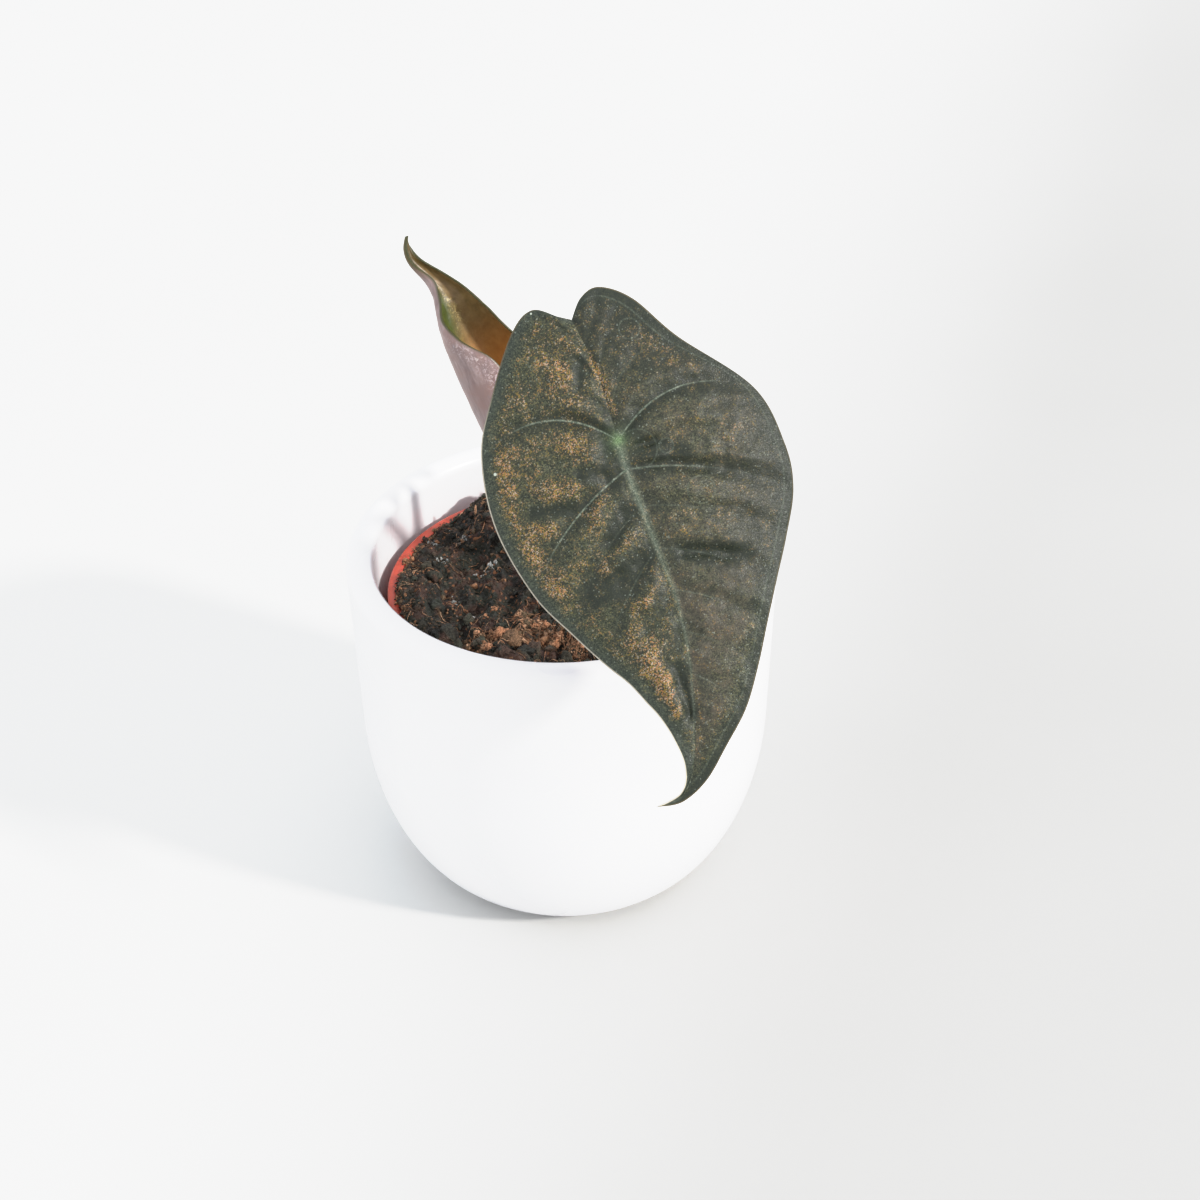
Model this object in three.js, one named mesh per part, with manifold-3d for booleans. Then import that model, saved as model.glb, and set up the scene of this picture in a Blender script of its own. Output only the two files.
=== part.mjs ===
// A young alocasia in its pots: one open shield-shaped leaf and one leaf still unrolling, on stems
// that rise from a corm in soil, in a thin plastic nursery pot, in a white ceramic cover pot.
// Millimetres, +Z up. The origin is the middle of the cover pot's flat base, and the open leaf
// leans out over the rim on the -Y side.
import * as THREE from 'three';
import { mergeVertices } from 'three/addons/utils/BufferGeometryUtils.js';
import Module from 'manifold-3d';

const wasm = await Module();
wasm.setup();

const { degToRad } = THREE.MathUtils;

// Cover pot: a tapered cup on a small flat base, with a half-round lip
const coverRadius = 37.5;
const coverHeight = 66.9;
const coverWall = 4.7;
const coverTaper = degToRad(1.85);
const coverBaseRadius = 18;
const coverBlend = 32.8;
const coverFloor = 5;
const coverFloorRadius = 20.5;
const coverFloorBlend = 28;
const coverSteps = 8;
const coverFloorSteps = 6;
const coverLipSteps = 6;
const coverSides = 52;

// Nursery pot: a tapered cup with a collar and a small bead round the rim, on the cover pot's floor
const nurseryRimRadius = 30.7;
const nurseryHeight = 53.3;
const nurseryBaseRadius = 19.5;
const nurseryCollarRadius = 29;
const nurseryCollarDrop = 8;
const nurseryCollarStep = 1;
const nurseryCollarLean = 0.8;
const nurseryWall = 1;
const nurseryFloor = 1.2;
const nurseryBead = 0.7;
const nurserySides = 44;
const drainHoleRadius = 2.5;
const drainHoleCircle = 12;
const drainHoleCount = 6;
const drainHoleSides = 12;

// Soil: fills the nursery pot to just under its rim, with a lumpy top
const clearance = 0.3;
const soilLevel = 56.4;
const soilSides = 44;
const soilRings = 12;
const soilSeed = 4201;
const lumpCount = 90;
const lumpWidths = [1.8, 4.4];
const lumpHeights = [-0.8, 1.5];
const backMound = { x: -9, y: 25.5, width: 13, height: 4 };
const flatRoundCorm = 7;

// Corm and stem bases, seen from above
const cormCentre = new THREE.Vector2(0.3, 5.2);
const cormRadius = 5;
const cormTop = 58.2;
const cormDepth = 12;
const cormSides = 24;
// The corm's outline from its foot to its crown: parts of its radius, and heights above its foot
const cormOutline = [[0.55, 0.6], [0.9, 3.4], [1, 7], [0.98, 11.1], [0.93, 12]];
const stemSides = 12;
const openStemFoot = new THREE.Vector2(2.2, 3.8);
const newStemFoot = new THREE.Vector2(-1.5, 6.5);

// Open leaf: where the stem meets the blade, the blade's slope, and its turn in its own plane
const openLeafJoint = new THREE.Vector3(9.6, -34.5, 109);
const openLeafSlope = degToRad(54.6);
const openLeafTurn = degToRad(13);
const bladeThickness = 0.75;
// Sunk veins above, with the blade quilted up between them, and ribs that stand out below
const veinDepth = 0.5;
const veinWidth = 0.2;
const quiltFadeIn = 0.15;
const ribHeight = 0.7;
const ribTaper = 0.85;
const midribHeight = 1.2;
const midribWidth = 1.4;
const midribToTip = 75;
const midribToLobes = 26;
// The blade folds up beside the midrib, droops to its sides and arches from its lobes to its tip
const foldHeight = 0.9;
const foldWidth = 3.5;
const droopRight = 0.0075;
const droopLeft = 0.0065;
const archToTip = 0.0013;
const archToLobes = 0.0035;
const marginWave = 0.3;
const fullHalfWidth = 18;
const openStemTopRadius = 1.4;
const openStemFootRadius = 2.2;
const openStemFlare = 4;
const openStemRise = 24;
const openStemReach = 17;

// The open leaf lies flat in these lists, x across and y from the joint up to the lobes. Point k
// of the axis, the right margin and the left margin are the two ends of one pair of side veins.
const openLeafAxis = [
  [-2.5, 19.6], [-2.1, 18], [-1.2, 14], [-0.5, 9], [-0.1, 4], [0, 0], [0.1, -2.2], [0.2, -4.6], [1, -10.5],
  [1.9, -17.3], [2.8, -24], [3, -30.5], [2.5, -37], [1.3, -43.5], [-0.4, -50.5], [-3.4, -55.1], [-7.5, -55.8],
];
const openLeafRight = [
  [-2.5, 19.6], [-0.3, 22.6], [2.8, 23.6], [7.3, 20.7], [12.6, 13.4], [22.2, 3.2], [24.8, -6.2],
  [24.5, -13.2], [21.7, -20.1], [18.7, -26], [15.6, -32.3], [12.7, -38.4], [9.4, -44.2], [5.2, -49],
  [0.9, -53.6], [-3.5, -56], [-7.5, -55.8],
];
const openLeafLeft = [
  [-2.5, 19.6], [-4.4, 20.5], [-8.2, 22.5], [-12.1, 19.6], [-17.4, 10.6], [-20.9, 2.6], [-21.4, -8.5],
  [-18.2, -19.8], [-13.7, -27.3], [-10, -32.8], [-7.2, -36.4], [-5.3, -39.8], [-3.8, -42.6], [-2.5, -46.4],
  [-1.9, -50.8], [-3.3, -54.5], [-7.5, -55.8],
];
// How far each side vein bows towards the lobes, and how strongly it is sunk into the blade
const openLeafBow = [0, 0.1, 0.4, 1.4, 3, 4.2, 2.6, 1.7, 1.6, 1.1, 0.9, 0.7, 0.5, 0.3, 0.1, 0, 0];
const openLeafVeins = [0, 0, 0.5, 0.5, 0.5, 1, 0, 1, 0.6, 0.7, 0.5, 0.4, 0.3, 0.2, 0, 0, 0];
// How high the blade is quilted between the veins, right and left of the midrib
const openLeafQuiltRight = [
  0.1, 0.1, 0.15, 0.2, 0.35, 0.55, 0.55, 0.5, 0.4, 0.3, 0.25, 0.2, 0.15, 0.1, 0.1, 0, 0,
];
const openLeafQuiltLeft = [
  0.1, 0.1, 0.15, 0.2, 0.3, 0.3, 0.3, 0.3, 0.25, 0.2, 0.15, 0.15, 0.1, 0.1, 0.1, 0, 0,
];
// Swellings and hollows between the veins: the two ends of each, its width, and its height or depth
const openLeafSwells = [
  [[-7.2, 0.8], [-4.8, -0.6], 2, 0.55],
  [[-12.5, -5.2], [-9, -5.2], 1.6, 0.5],
  [[-4.4, -7], [-6.3, -11], 1.2, 0.4],
  [[-14.5, -9.8], [-12.8, -11], 1.5, 0.4],
  [[-0.9, -13.8], [-6.8, -18.3], 1.1, 0.5],
  [[0.8, -21.5], [-1.8, -25], 1.1, 0.3],
  [[-4.4, -30], [-2.1, -37.4], 1.4, 0.6],
  [[-2.1, -37.4], [-0.9, -42.9], 1.1, 0.4],
  [[-7.7, 10.4], [-4.8, 8], 1.6, 0.35],
  [[12, 0.5], [17, -2], 2.2, 0.35],
  [[5.2, -12.5], [13.2, -14.9], 0.9, 0.3],
  [[-2.3, 1], [-2, -2.2], 1.2, -0.45],
  [[-15, -8], [-9.5, -8.2], 1.2, -0.5],
  [[-6.5, -3.6], [-3.5, -4.6], 1.1, -0.4],
  [[-1.6, -11], [-4.5, -15], 1.4, -0.4],
  [[-1, -18.5], [-5, -21.5], 1.6, -0.5],
  [[0.3, -36], [1, -43], 0.9, -0.6],
  [[-2.7, 13.1], [-4.1, 9.1], 0.9, -0.35],
  [[3.5, -1.8], [8.5, -3.8], 1.6, -0.5],
  [[5.8, -18.8], [15, -21], 1.2, -0.6],
];
const openLeafRowsPerVein = 4;
const openLeafColumns = 24;
const openLeafCrowding = 1.15;

// New leaf: the line from its foot to its tip, and its blade rolled about that line
const newLeafTip = new THREE.Vector3(-25, 17, 117.8);
const viewSlope = degToRad(35.4);
const newBladeThickness = 0.65;
const newKeelHeight = 0.5;
const newKeelWidth = 0.12;
const newKeelTaper = 0.6;
const newBladeSeat = 0.4;
const newStemRise = 0.3;
const newStemReach = 0.4;
const newStemTopRadius = 1.2;
const newStemFootRadius = 1.7;
// Each row across the new blade, from its lobes to its tip: the distance down from the tip, the
// keel's offset, the roll's radius, the turn of the opening in degrees, the half widths on the
// far and the near side, and how far the margins lie below the keel.
const newLeafRows = [
  [42.5, 0.2, 4.5, 36, 1, 1, 0],
  [41.6, 0.1, 5.2, 36, 7, 6.4, 3.4],
  [39.5, 0, 6, 36, 12, 11, 4.6],
  [35.5, -0.3, 6.4, 36, 16, 14.6, 3.2],
  [30, -0.4, 6.4, 36, 16.2, 15.4, 1],
  [23, -0.3, 5.8, 40, 14, 14, 0],
  [17.5, 0.6, 4.7, 53, 10.2, 9, 0],
  [14, 1.1, 3.7, 60, 7.4, 6, 0],
  [11, 0.8, 2.5, 45, 5.6, 4, 0],
  [8, 0, 1.6, 30, 3.9, 3.1, 0],
  [4.5, -1.2, 1, 30, 2, 1.6, 0],
  [2, -1.1, 0.9, 20, 1.2, 1, 0],
  [0, 0, 0.8, 0, 0.3, 0.3, 0],
];
const newLeafRowsPerStep = 2;
const newLeafColumns = 16;

// A smooth line through a list of points or numbers, at point k where place is k
function along(list, place) {
  const last = list.length - 1;
  const k = Math.min(Math.max(Math.floor(place), 0), last - 1);
  const part = place - k;
  const blend = (a, b, c, d) => {
    const slopeIn = (c - a) / 2;
    const slopeOut = (d - b) / 2;
    const cubic = 2 * b - 2 * c + slopeIn + slopeOut;
    const square = 3 * c - 3 * b - 2 * slopeIn - slopeOut;
    return ((cubic * part + square) * part + slopeIn) * part + b;
  };
  const before = list[Math.max(k - 1, 0)];
  const after = list[Math.min(k + 2, last)];
  if (typeof before === 'number') {
    return blend(before, list[k], list[k + 1], after);
  }
  return before.map((_, axis) => blend(before[axis], list[k][axis], list[k + 1][axis], after[axis]));
}

// Joins and cuts need a solid whose shared corners are merged
function solidOf(geometry) {
  const bare = new THREE.BufferGeometry();
  bare.setAttribute('position', geometry.getAttribute('position'));
  bare.setIndex(geometry.getIndex());
  const merged = mergeVertices(bare, 1e-4);
  const triVerts = [];
  const corners = merged.getIndex().array;
  for (let i = 0; i < corners.length; i += 3) {
    const [a, b, c] = corners.slice(i, i + 3);
    if (a !== b && b !== c && c !== a) {
      triVerts.push(a, b, c);
    }
  }
  return new wasm.Manifold(new wasm.Mesh({
    numProp: 3,
    vertProperties: new Float32Array(merged.getAttribute('position').array),
    triVerts: new Uint32Array(triVerts),
  }));
}

function geometryOf(solid) {
  const mesh = solid.getMesh();
  const geometry = new THREE.BufferGeometry();
  geometry.setAttribute('position', new THREE.BufferAttribute(new Float32Array(mesh.vertProperties), 3));
  geometry.setIndex(new THREE.BufferAttribute(new Uint32Array(mesh.triVerts), 1));
  return geometry;
}

// A profile of [radius, height] pairs turned about the Z axis
function turned(profile, sides) {
  const points = profile.map(([radius, height]) => new THREE.Vector2(radius, height));
  return new THREE.LatheGeometry(points, sides).rotateX(Math.PI / 2);
}

// An upright round cutter
function roundCutter(radius, bottom, top, x, y, sides) {
  const cutter = new THREE.CylinderGeometry(radius, radius, top - bottom, sides);
  return cutter.rotateX(Math.PI / 2).translate(x, y, (bottom + top) / 2);
}

// A round stem along a curve, with flat ends
function stemGeometry(curve, radiusAt, sides, steps) {
  const frames = curve.computeFrenetFrames(steps);
  const positions = [];
  const index = [];
  for (let step = 0; step <= steps; step += 1) {
    const centre = curve.getPointAt(step / steps);
    const radius = radiusAt(step / steps);
    for (let side = 0; side < sides; side += 1) {
      const angle = (2 * Math.PI * side) / sides;
      const corner = centre.clone()
        .addScaledVector(frames.normals[step], radius * Math.cos(angle))
        .addScaledVector(frames.binormals[step], radius * Math.sin(angle));
      positions.push(...corner.toArray());
    }
  }
  for (let step = 0; step < steps; step += 1) {
    for (let side = 0; side < sides; side += 1) {
      const next = (side + 1) % sides;
      const low = step * sides;
      const high = low + sides;
      index.push(low + side, low + next, high + next, low + side, high + next, high + side);
    }
  }
  const end = steps * sides;
  for (let side = 1; side < sides - 1; side += 1) {
    index.push(0, side + 1, side, end, end + side, end + side + 1);
  }
  const geometry = new THREE.BufferGeometry();
  geometry.setAttribute('position', new THREE.Float32BufferAttribute(positions, 3));
  geometry.setIndex(index);
  return geometry;
}

// A thin blade, whose rows run across it. Its first and last row are one point each, and both of
// its faces are split into triangles alike. pointAt(row, column, face) has face 0 above, 1 below.
function bladeGeometry(rows, columns, pointAt) {
  const positions = [];
  const corner = (row, column, face) => {
    positions.push(...pointAt(row, column, face).toArray());
    return positions.length / 3 - 1;
  };
  const corners = [0, 1].map((face) => Array.from({ length: rows + 1 }, (_, row) => {
    if (row === 0 || row === rows) {
      return new Array(columns + 1).fill(corner(row, columns / 2, face));
    }
    return Array.from({ length: columns + 1 }, (__, column) => corner(row, column, face));
  }));
  const index = [];
  const triangle = (a, b, c) => {
    if (a !== b && b !== c && c !== a) {
      index.push(a, b, c);
    }
  };
  const [above, below] = corners;
  for (let row = 0; row < rows; row += 1) {
    const next = row + 1;
    for (let column = 0; column < columns; column += 1) {
      const side = column + 1;
      triangle(above[row][column], above[next][column], above[next][side]);
      triangle(above[row][column], above[next][side], above[row][side]);
      triangle(below[row][column], below[next][side], below[next][column]);
      triangle(below[row][column], below[row][side], below[next][side]);
    }
    triangle(above[row][0], below[row][0], below[next][0]);
    triangle(above[row][0], below[next][0], above[next][0]);
    triangle(above[row][columns], above[next][columns], below[next][columns]);
    triangle(above[row][columns], below[next][columns], below[row][columns]);
  }
  const geometry = new THREE.BufferGeometry();
  geometry.setAttribute('position', new THREE.Float32BufferAttribute(positions, 3));
  geometry.setIndex(index);
  return geometry;
}

// Cover pot: the wall's outer radius at a height, and a cup that blends from a flat floor into it
const lipRadius = coverWall / 2;
const lipHeight = coverHeight - lipRadius;
const coverWallAt = (height) => coverRadius - Math.tan(coverTaper) * (lipHeight - height);

function cupProfile(floor, floorRadius, blend, wallAt, steps) {
  const inset = wallAt(floor) - floorRadius;
  return Array.from({ length: steps + 1 }, (_, step) => {
    const angle = (Math.PI / 2) * (step / steps);
    const height = floor + blend * (1 - Math.cos(angle));
    return [wallAt(height) - inset * (1 - Math.sin(angle)), height];
  });
}

function coverPot() {
  const outside = cupProfile(0, coverBaseRadius, coverBlend, coverWallAt, coverSteps);
  const inWallAt = (height) => coverWallAt(height) - coverWall;
  const inside = cupProfile(coverFloor, coverFloorRadius, coverFloorBlend, inWallAt, coverFloorSteps);
  const lip = Array.from({ length: coverLipSteps + 1 }, (_, step) => {
    const angle = (Math.PI * step) / coverLipSteps;
    return [coverRadius - lipRadius + lipRadius * Math.cos(angle), lipHeight + lipRadius * Math.sin(angle)];
  });
  const profile = [[0, 0], ...outside, ...lip, ...inside.reverse(), [0, coverFloor]];
  return turned(profile, coverSides);
}

// Nursery pot, from its floor up the outside, over the bead and down the inside
const nurseryTop = coverFloor + nurseryHeight;
const nurseryFloorTop = coverFloor + nurseryFloor;
const collarFoot = nurseryTop - nurseryCollarDrop;
const wallTop = collarFoot - nurseryCollarStep;
const wallTopRadius = nurseryCollarRadius - nurseryCollarStep;

function nurseryPot() {
  const rimRadius = nurseryCollarRadius + nurseryCollarLean;
  const profile = [
    [0, coverFloor],
    [nurseryBaseRadius - nurseryBead, coverFloor],
    [nurseryBaseRadius, coverFloor + nurseryBead],
    [wallTopRadius, wallTop],
    [nurseryCollarRadius, collarFoot],
    [rimRadius, nurseryTop - 2 * nurseryBead],
    [nurseryRimRadius, nurseryTop - 1.5 * nurseryBead],
    [nurseryRimRadius, nurseryTop - nurseryBead / 2],
    [nurseryRimRadius - nurseryBead / 2, nurseryTop],
    [rimRadius - nurseryWall, nurseryTop],
    [nurseryCollarRadius - nurseryWall, collarFoot + nurseryWall / 2],
    [wallTopRadius - nurseryWall, wallTop + nurseryWall / 2],
    [nurseryBaseRadius - nurseryWall, nurseryFloorTop],
    [0, nurseryFloorTop],
  ];
  let pot = solidOf(turned(profile, nurserySides));
  for (let hole = 0; hole <= drainHoleCount; hole += 1) {
    const circle = hole === drainHoleCount ? 0 : drainHoleCircle;
    const angle = (2 * Math.PI * hole) / drainHoleCount;
    const [x, y] = [circle * Math.cos(angle), circle * Math.sin(angle)];
    const cutter = roundCutter(drainHoleRadius, coverFloor - 1, nurseryFloorTop + 1, x, y, drainHoleSides);
    pot = pot.subtract(solidOf(cutter));
  }
  return geometryOf(pot);
}

// The soil's lumps: seeded places, widths and heights of low round bumps and dips
function lumpList() {
  const between = ([low, high], share) => low + (high - low) * share;
  let state = soilSeed;
  const random = () => {
    state = (state * 16807) % 2147483647;
    return state / 2147483647;
  };
  return Array.from({ length: lumpCount }, () => {
    const radius = nurseryCollarRadius * Math.sqrt(random());
    const angle = 2 * Math.PI * random();
    return {
      x: radius * Math.cos(angle),
      y: radius * Math.sin(angle),
      width: between(lumpWidths, random()),
      height: between(lumpHeights, random()),
    };
  });
}

const lumps = [...lumpList(), backMound];

// How far the soil's top stands above its level. It is drawn flat round the corm.
function soilRise(x, y) {
  const rise = lumps.reduce((sum, lump) => {
    const away = ((x - lump.x) ** 2 + (y - lump.y) ** 2) / lump.width ** 2;
    return sum + lump.height * Math.exp(-away);
  }, 0);
  const fromCorm = Math.hypot(x - cormCentre.x, y - cormCentre.y);
  const flat = Math.exp(-((fromCorm / flatRoundCorm) ** 4));
  return rise * (1 - flat);
}

function soilBody() {
  const gap = nurseryWall + clearance;
  const lean = (nurseryCollarLean * (soilLevel - collarFoot)) / nurseryCollarDrop;
  const topRadius = nurseryCollarRadius + lean - gap;
  const topRings = Array.from({ length: soilRings }, (_, ring) => [
    topRadius * (1 - (ring + 1) / soilRings), soilLevel,
  ]);
  const profile = [
    [0, nurseryFloorTop],
    [nurseryBaseRadius - gap, nurseryFloorTop],
    [wallTopRadius - gap, wallTop + clearance],
    [nurseryCollarRadius - gap, collarFoot + clearance],
    [topRadius, soilLevel],
    ...topRings,
  ];
  const body = turned(profile, soilSides);
  const places = body.getAttribute('position');
  for (let i = 0; i < places.count; i += 1) {
    const [x, y, z] = [places.getX(i), places.getY(i), places.getZ(i)];
    if (z > soilLevel - 0.01) {
      places.setZ(i, z + soilRise(x, y));
    }
  }
  const holeDepth = cormDepth + clearance;
  const hole = roundCutter(
    cormRadius + clearance, cormTop - holeDepth, cormTop + 1, cormCentre.x, cormCentre.y, cormSides,
  );
  return geometryOf(solidOf(body).subtract(solidOf(hole)));
}

// Corm: a short bulb sunk in the soil, with a flat crown where the stems stand
function corm() {
  const foot = cormTop - cormDepth;
  const outline = cormOutline.map(([part, height]) => [cormRadius * part, foot + height]);
  const profile = [[0, foot], ...outline, [0, cormTop]];
  return turned(profile, cormSides).translate(cormCentre.x, cormCentre.y, 0);
}

// Open leaf: its own axes, and a point of its blade. place runs along the vein numbers, and side
// from -1 at the left margin over 0 at the midrib to 1 at the right margin.
const leafNormal = new THREE.Vector3(0, -Math.sin(openLeafSlope), Math.cos(openLeafSlope));
const leafAcross = new THREE.Vector3(1, 0, 0).applyAxisAngle(leafNormal, openLeafTurn);
const leafUp = leafNormal.clone().cross(leafAcross);

function openLeafFlat(place, side) {
  const [axisX, axisY] = along(openLeafAxis, place);
  const [endX, endY] = along(side > 0 ? openLeafRight : openLeafLeft, place);
  const reach = Math.abs(side);
  const [spanX, spanY] = [endX - axisX, endY - axisY];
  const length = Math.max(Math.hypot(spanX, spanY), 1e-6);
  const bow = (along(openLeafBow, place) * 4 * reach * (1 - reach) * Math.sign(side)) / length;
  return {
    x: axisX + spanX * reach - spanY * bow,
    y: axisY + spanY * reach + spanX * bow,
    halfWidth: length,
    across: length * reach,
  };
}

// The blade's form, with a wavy margin
function openLeafForm(flat, place, side) {
  const fold = foldHeight * (1 - Math.exp(-flat.across / foldWidth));
  const droop = (side > 0 ? droopRight : droopLeft) * flat.across ** 2;
  const arch = (flat.y < 0 ? archToTip : archToLobes) * flat.y ** 2;
  const fullness = Math.min(1, flat.halfWidth / fullHalfWidth);
  const wave = marginWave * fullness * Math.sin(2 * place + Math.sign(side)) * side ** 4;
  return fold - droop - arch + wave;
}

// How far a place lies in a side vein, from 0 between veins to the vein's own strength on it
function veinLine(place) {
  const vein = Math.round(place);
  return openLeafVeins[vein] * Math.exp(-(((place - vein) / veinWidth) ** 2));
}

// How far the swellings and hollows lift a place of the blade
function openLeafSwell({ x, y }) {
  return openLeafSwells.reduce((sum, [[startX, startY], [endX, endY], width, height]) => {
    const [spanX, spanY] = [endX - startX, endY - startY];
    const part = ((x - startX) * spanX + (y - startY) * spanY) / (spanX ** 2 + spanY ** 2);
    const near = Math.min(Math.max(part, 0), 1);
    const away = Math.hypot(x - startX - spanX * near, y - startY - spanY * near);
    return sum + height * Math.exp(-((away / width) ** 2));
  }, 0);
}

// The sunk veins, the quilting and the swellings, which fade out at the midrib and the margin
function openLeafRelief(flat, place, side) {
  const reach = Math.abs(side);
  const fullness = Math.min(1, flat.halfWidth / fullHalfWidth);
  const fade = Math.min(1, reach / quiltFadeIn) * (1 - reach ** 5);
  const quiltHeight = along(side > 0 ? openLeafQuiltRight : openLeafQuiltLeft, place);
  const quilt = quiltHeight * Math.sin(Math.PI * place) ** 2;
  return ((quilt - veinDepth * veinLine(place)) * fullness + openLeafSwell(flat)) * fade;
}

// How far the ribs stand out under the blade
function openLeafRib(flat, place, side) {
  const reach = Math.abs(side);
  const taper = 1 - Math.abs(flat.y) / (flat.y < 0 ? midribToTip : midribToLobes);
  const midrib = midribHeight * taper * Math.exp(-((flat.across / midribWidth) ** 2));
  const rib = ribHeight * veinLine(place) * (1 - ribTaper * reach) * Math.min(1, reach / 0.05);
  return midrib + rib;
}

function openLeaf() {
  const rows = (openLeafAxis.length - 1) * openLeafRowsPerVein;
  return bladeGeometry(rows, openLeafColumns, (row, column, face) => {
    const place = row / openLeafRowsPerVein;
    const linear = (2 * column) / openLeafColumns - 1;
    const side = Math.sign(linear) * Math.abs(linear) ** openLeafCrowding;
    const flat = openLeafFlat(place, side);
    const above = openLeafForm(flat, place, side) + openLeafRelief(flat, place, side);
    const height = above - face * (bladeThickness + openLeafRib(flat, place, side));
    return openLeafJoint.clone()
      .addScaledVector(leafAcross, flat.x)
      .addScaledVector(leafUp, flat.y)
      .addScaledVector(leafNormal, height);
  });
}

// Stem of the open leaf: up from the corm's crown, then forward to meet the blade from behind
function openStem() {
  const seat = bladeThickness + midribHeight + clearance;
  const foot = new THREE.Vector3(openStemFoot.x, openStemFoot.y, cormTop);
  const top = openLeafJoint.clone().addScaledVector(leafNormal, -seat);
  const rise = foot.clone().add(new THREE.Vector3(0, 0, openStemRise));
  const reach = top.clone().addScaledVector(leafNormal, -openStemReach);
  const curve = new THREE.CubicBezierCurve3(foot, rise, reach, top);
  const radiusAt = (part) => {
    const base = (openStemFootRadius - openStemTopRadius) * Math.exp(-part * openStemFlare);
    return openStemTopRadius + base;
  };
  return stemGeometry(curve, radiusAt, stemSides, 24);
}

// New leaf: its line, the way its roll opens to the right, and the way it opens to the front
const newLeafFoot = new THREE.Vector3(newStemFoot.x, newStemFoot.y, cormTop);
const newLeafSpan = newLeafTip.clone().sub(newLeafFoot);
const newLeafLine = newLeafSpan.clone().normalize();
const towardView = new THREE.Vector3(0, -Math.cos(viewSlope), Math.sin(viewSlope));
const openFront = towardView.clone().addScaledVector(newLeafLine, -towardView.dot(newLeafLine)).normalize();
const openRight = newLeafLine.clone().cross(openFront);

function newLeafPoint(place, side, lift) {
  const [down, offset, radius, turn, farWidth, nearWidth, sweep] = along(newLeafRows, place);
  const width = side > 0 ? farWidth : nearWidth;
  const angle = (width * Math.abs(side)) / radius;
  const face = radius - lift;
  const opening = openRight.clone().multiplyScalar(Math.cos(degToRad(turn)))
    .addScaledVector(openFront, Math.sin(degToRad(turn)));
  const sideways = openFront.clone().multiplyScalar(Math.cos(degToRad(turn)))
    .addScaledVector(openRight, -Math.sin(degToRad(turn)));
  const climb = newLeafSpan.length() - down - sweep * Math.abs(side) ** 1.5;
  return newLeafFoot.clone()
    .addScaledVector(newLeafLine, climb)
    .addScaledVector(openRight, offset)
    .addScaledVector(opening, radius - face * Math.cos(angle))
    .addScaledVector(sideways, -Math.sign(side) * face * Math.sin(angle));
}

function newLeaf() {
  const rows = (newLeafRows.length - 1) * newLeafRowsPerStep;
  return bladeGeometry(rows, newLeafColumns, (row, column, face) => {
    const place = row / newLeafRowsPerStep;
    const side = 1 - (2 * column) / newLeafColumns;
    const taper = Math.min(1, (rows - row) / (rows * newKeelTaper));
    const keel = newKeelHeight * taper * Math.exp(-((side / newKeelWidth) ** 2));
    const lift = face === 0 ? newBladeThickness / 2 : -newBladeThickness / 2 - keel;
    return newLeafPoint(place, side, lift);
  });
}

// Stem of the new leaf: straight from the corm's crown to just under the blade
function newStem() {
  const bladeBase = newLeafRows[0][0];
  const top = newLeafPoint(0, 0, 0).addScaledVector(newLeafLine, -newBladeSeat);
  const length = newLeafSpan.length() - bladeBase;
  const rise = newLeafFoot.clone().add(new THREE.Vector3(0, 0, length * newStemRise));
  const reach = top.clone().addScaledVector(newLeafLine, -length * newStemReach);
  const curve = new THREE.CubicBezierCurve3(newLeafFoot, rise, reach, top);
  const radiusAt = (part) => newStemTopRadius + (newStemFootRadius - newStemTopRadius) * (1 - part);
  return stemGeometry(curve, radiusAt, stemSides, 12);
}

function piece(name, geometry, color, roughness) {
  const material = new THREE.MeshStandardMaterial({ color, roughness, metalness: 0 });
  const mesh = new THREE.Mesh(geometry, material);
  mesh.name = name;
  return mesh;
}

const plant = new THREE.Group();
plant.add(
  piece('cover_pot', coverPot(), 0xf4f5f7, 0.12),
  piece('nursery_pot', nurseryPot(), 0xd9603c, 0.45),
  piece('soil', soilBody(), 0x2e211b, 0.95),
  piece('corm', corm(), 0x6b4a34, 0.8),
  piece('stem_open_leaf', openStem(), 0x8a6a55, 0.45),
  piece('stem_new_leaf', newStem(), 0x97735f, 0.45),
  piece('blade_open_leaf', openLeaf(), 0x4b5a4e, 0.4),
  piece('blade_new_leaf', newLeaf(), 0x8a6a35, 0.35),
);

export default plant;
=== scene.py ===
"""The looks of a young potted alocasia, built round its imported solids.

Lengths are millimetres in the frame of the solids, +Z up, and become metres as each mesh is made.
Colours are written as 0 to 255 sRGB values.
"""

import itertools
import math
import random

import bmesh
import bpy
import numpy as np
from mathutils import Matrix, Vector


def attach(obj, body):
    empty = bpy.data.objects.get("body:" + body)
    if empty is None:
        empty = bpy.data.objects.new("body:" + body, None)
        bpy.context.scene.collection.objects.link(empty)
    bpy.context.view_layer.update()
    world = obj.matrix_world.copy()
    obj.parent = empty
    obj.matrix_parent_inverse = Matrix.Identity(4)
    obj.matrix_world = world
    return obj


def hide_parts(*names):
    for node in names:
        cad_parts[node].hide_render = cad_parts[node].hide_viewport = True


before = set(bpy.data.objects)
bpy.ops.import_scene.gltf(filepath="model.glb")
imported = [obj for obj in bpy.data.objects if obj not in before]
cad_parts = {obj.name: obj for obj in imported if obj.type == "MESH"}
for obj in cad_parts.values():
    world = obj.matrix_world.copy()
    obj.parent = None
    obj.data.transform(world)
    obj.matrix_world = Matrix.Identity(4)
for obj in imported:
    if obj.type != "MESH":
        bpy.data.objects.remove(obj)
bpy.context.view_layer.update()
scene = bpy.context.scene

MM = 0.001

# Camera: a 72 mm lens on a 36 mm sensor, looking along +Y and down at the plant
CAMERA_PLACE = (6.54, -345.12, 300.32)
CAMERA_DOWN = 35.43
CAMERA_ROLL = -0.72
CAMERA_LENS = 72
CAMERA_SENSOR = 36
# How far the floor reaches each way
FLOOR_REACH = 3000

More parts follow.
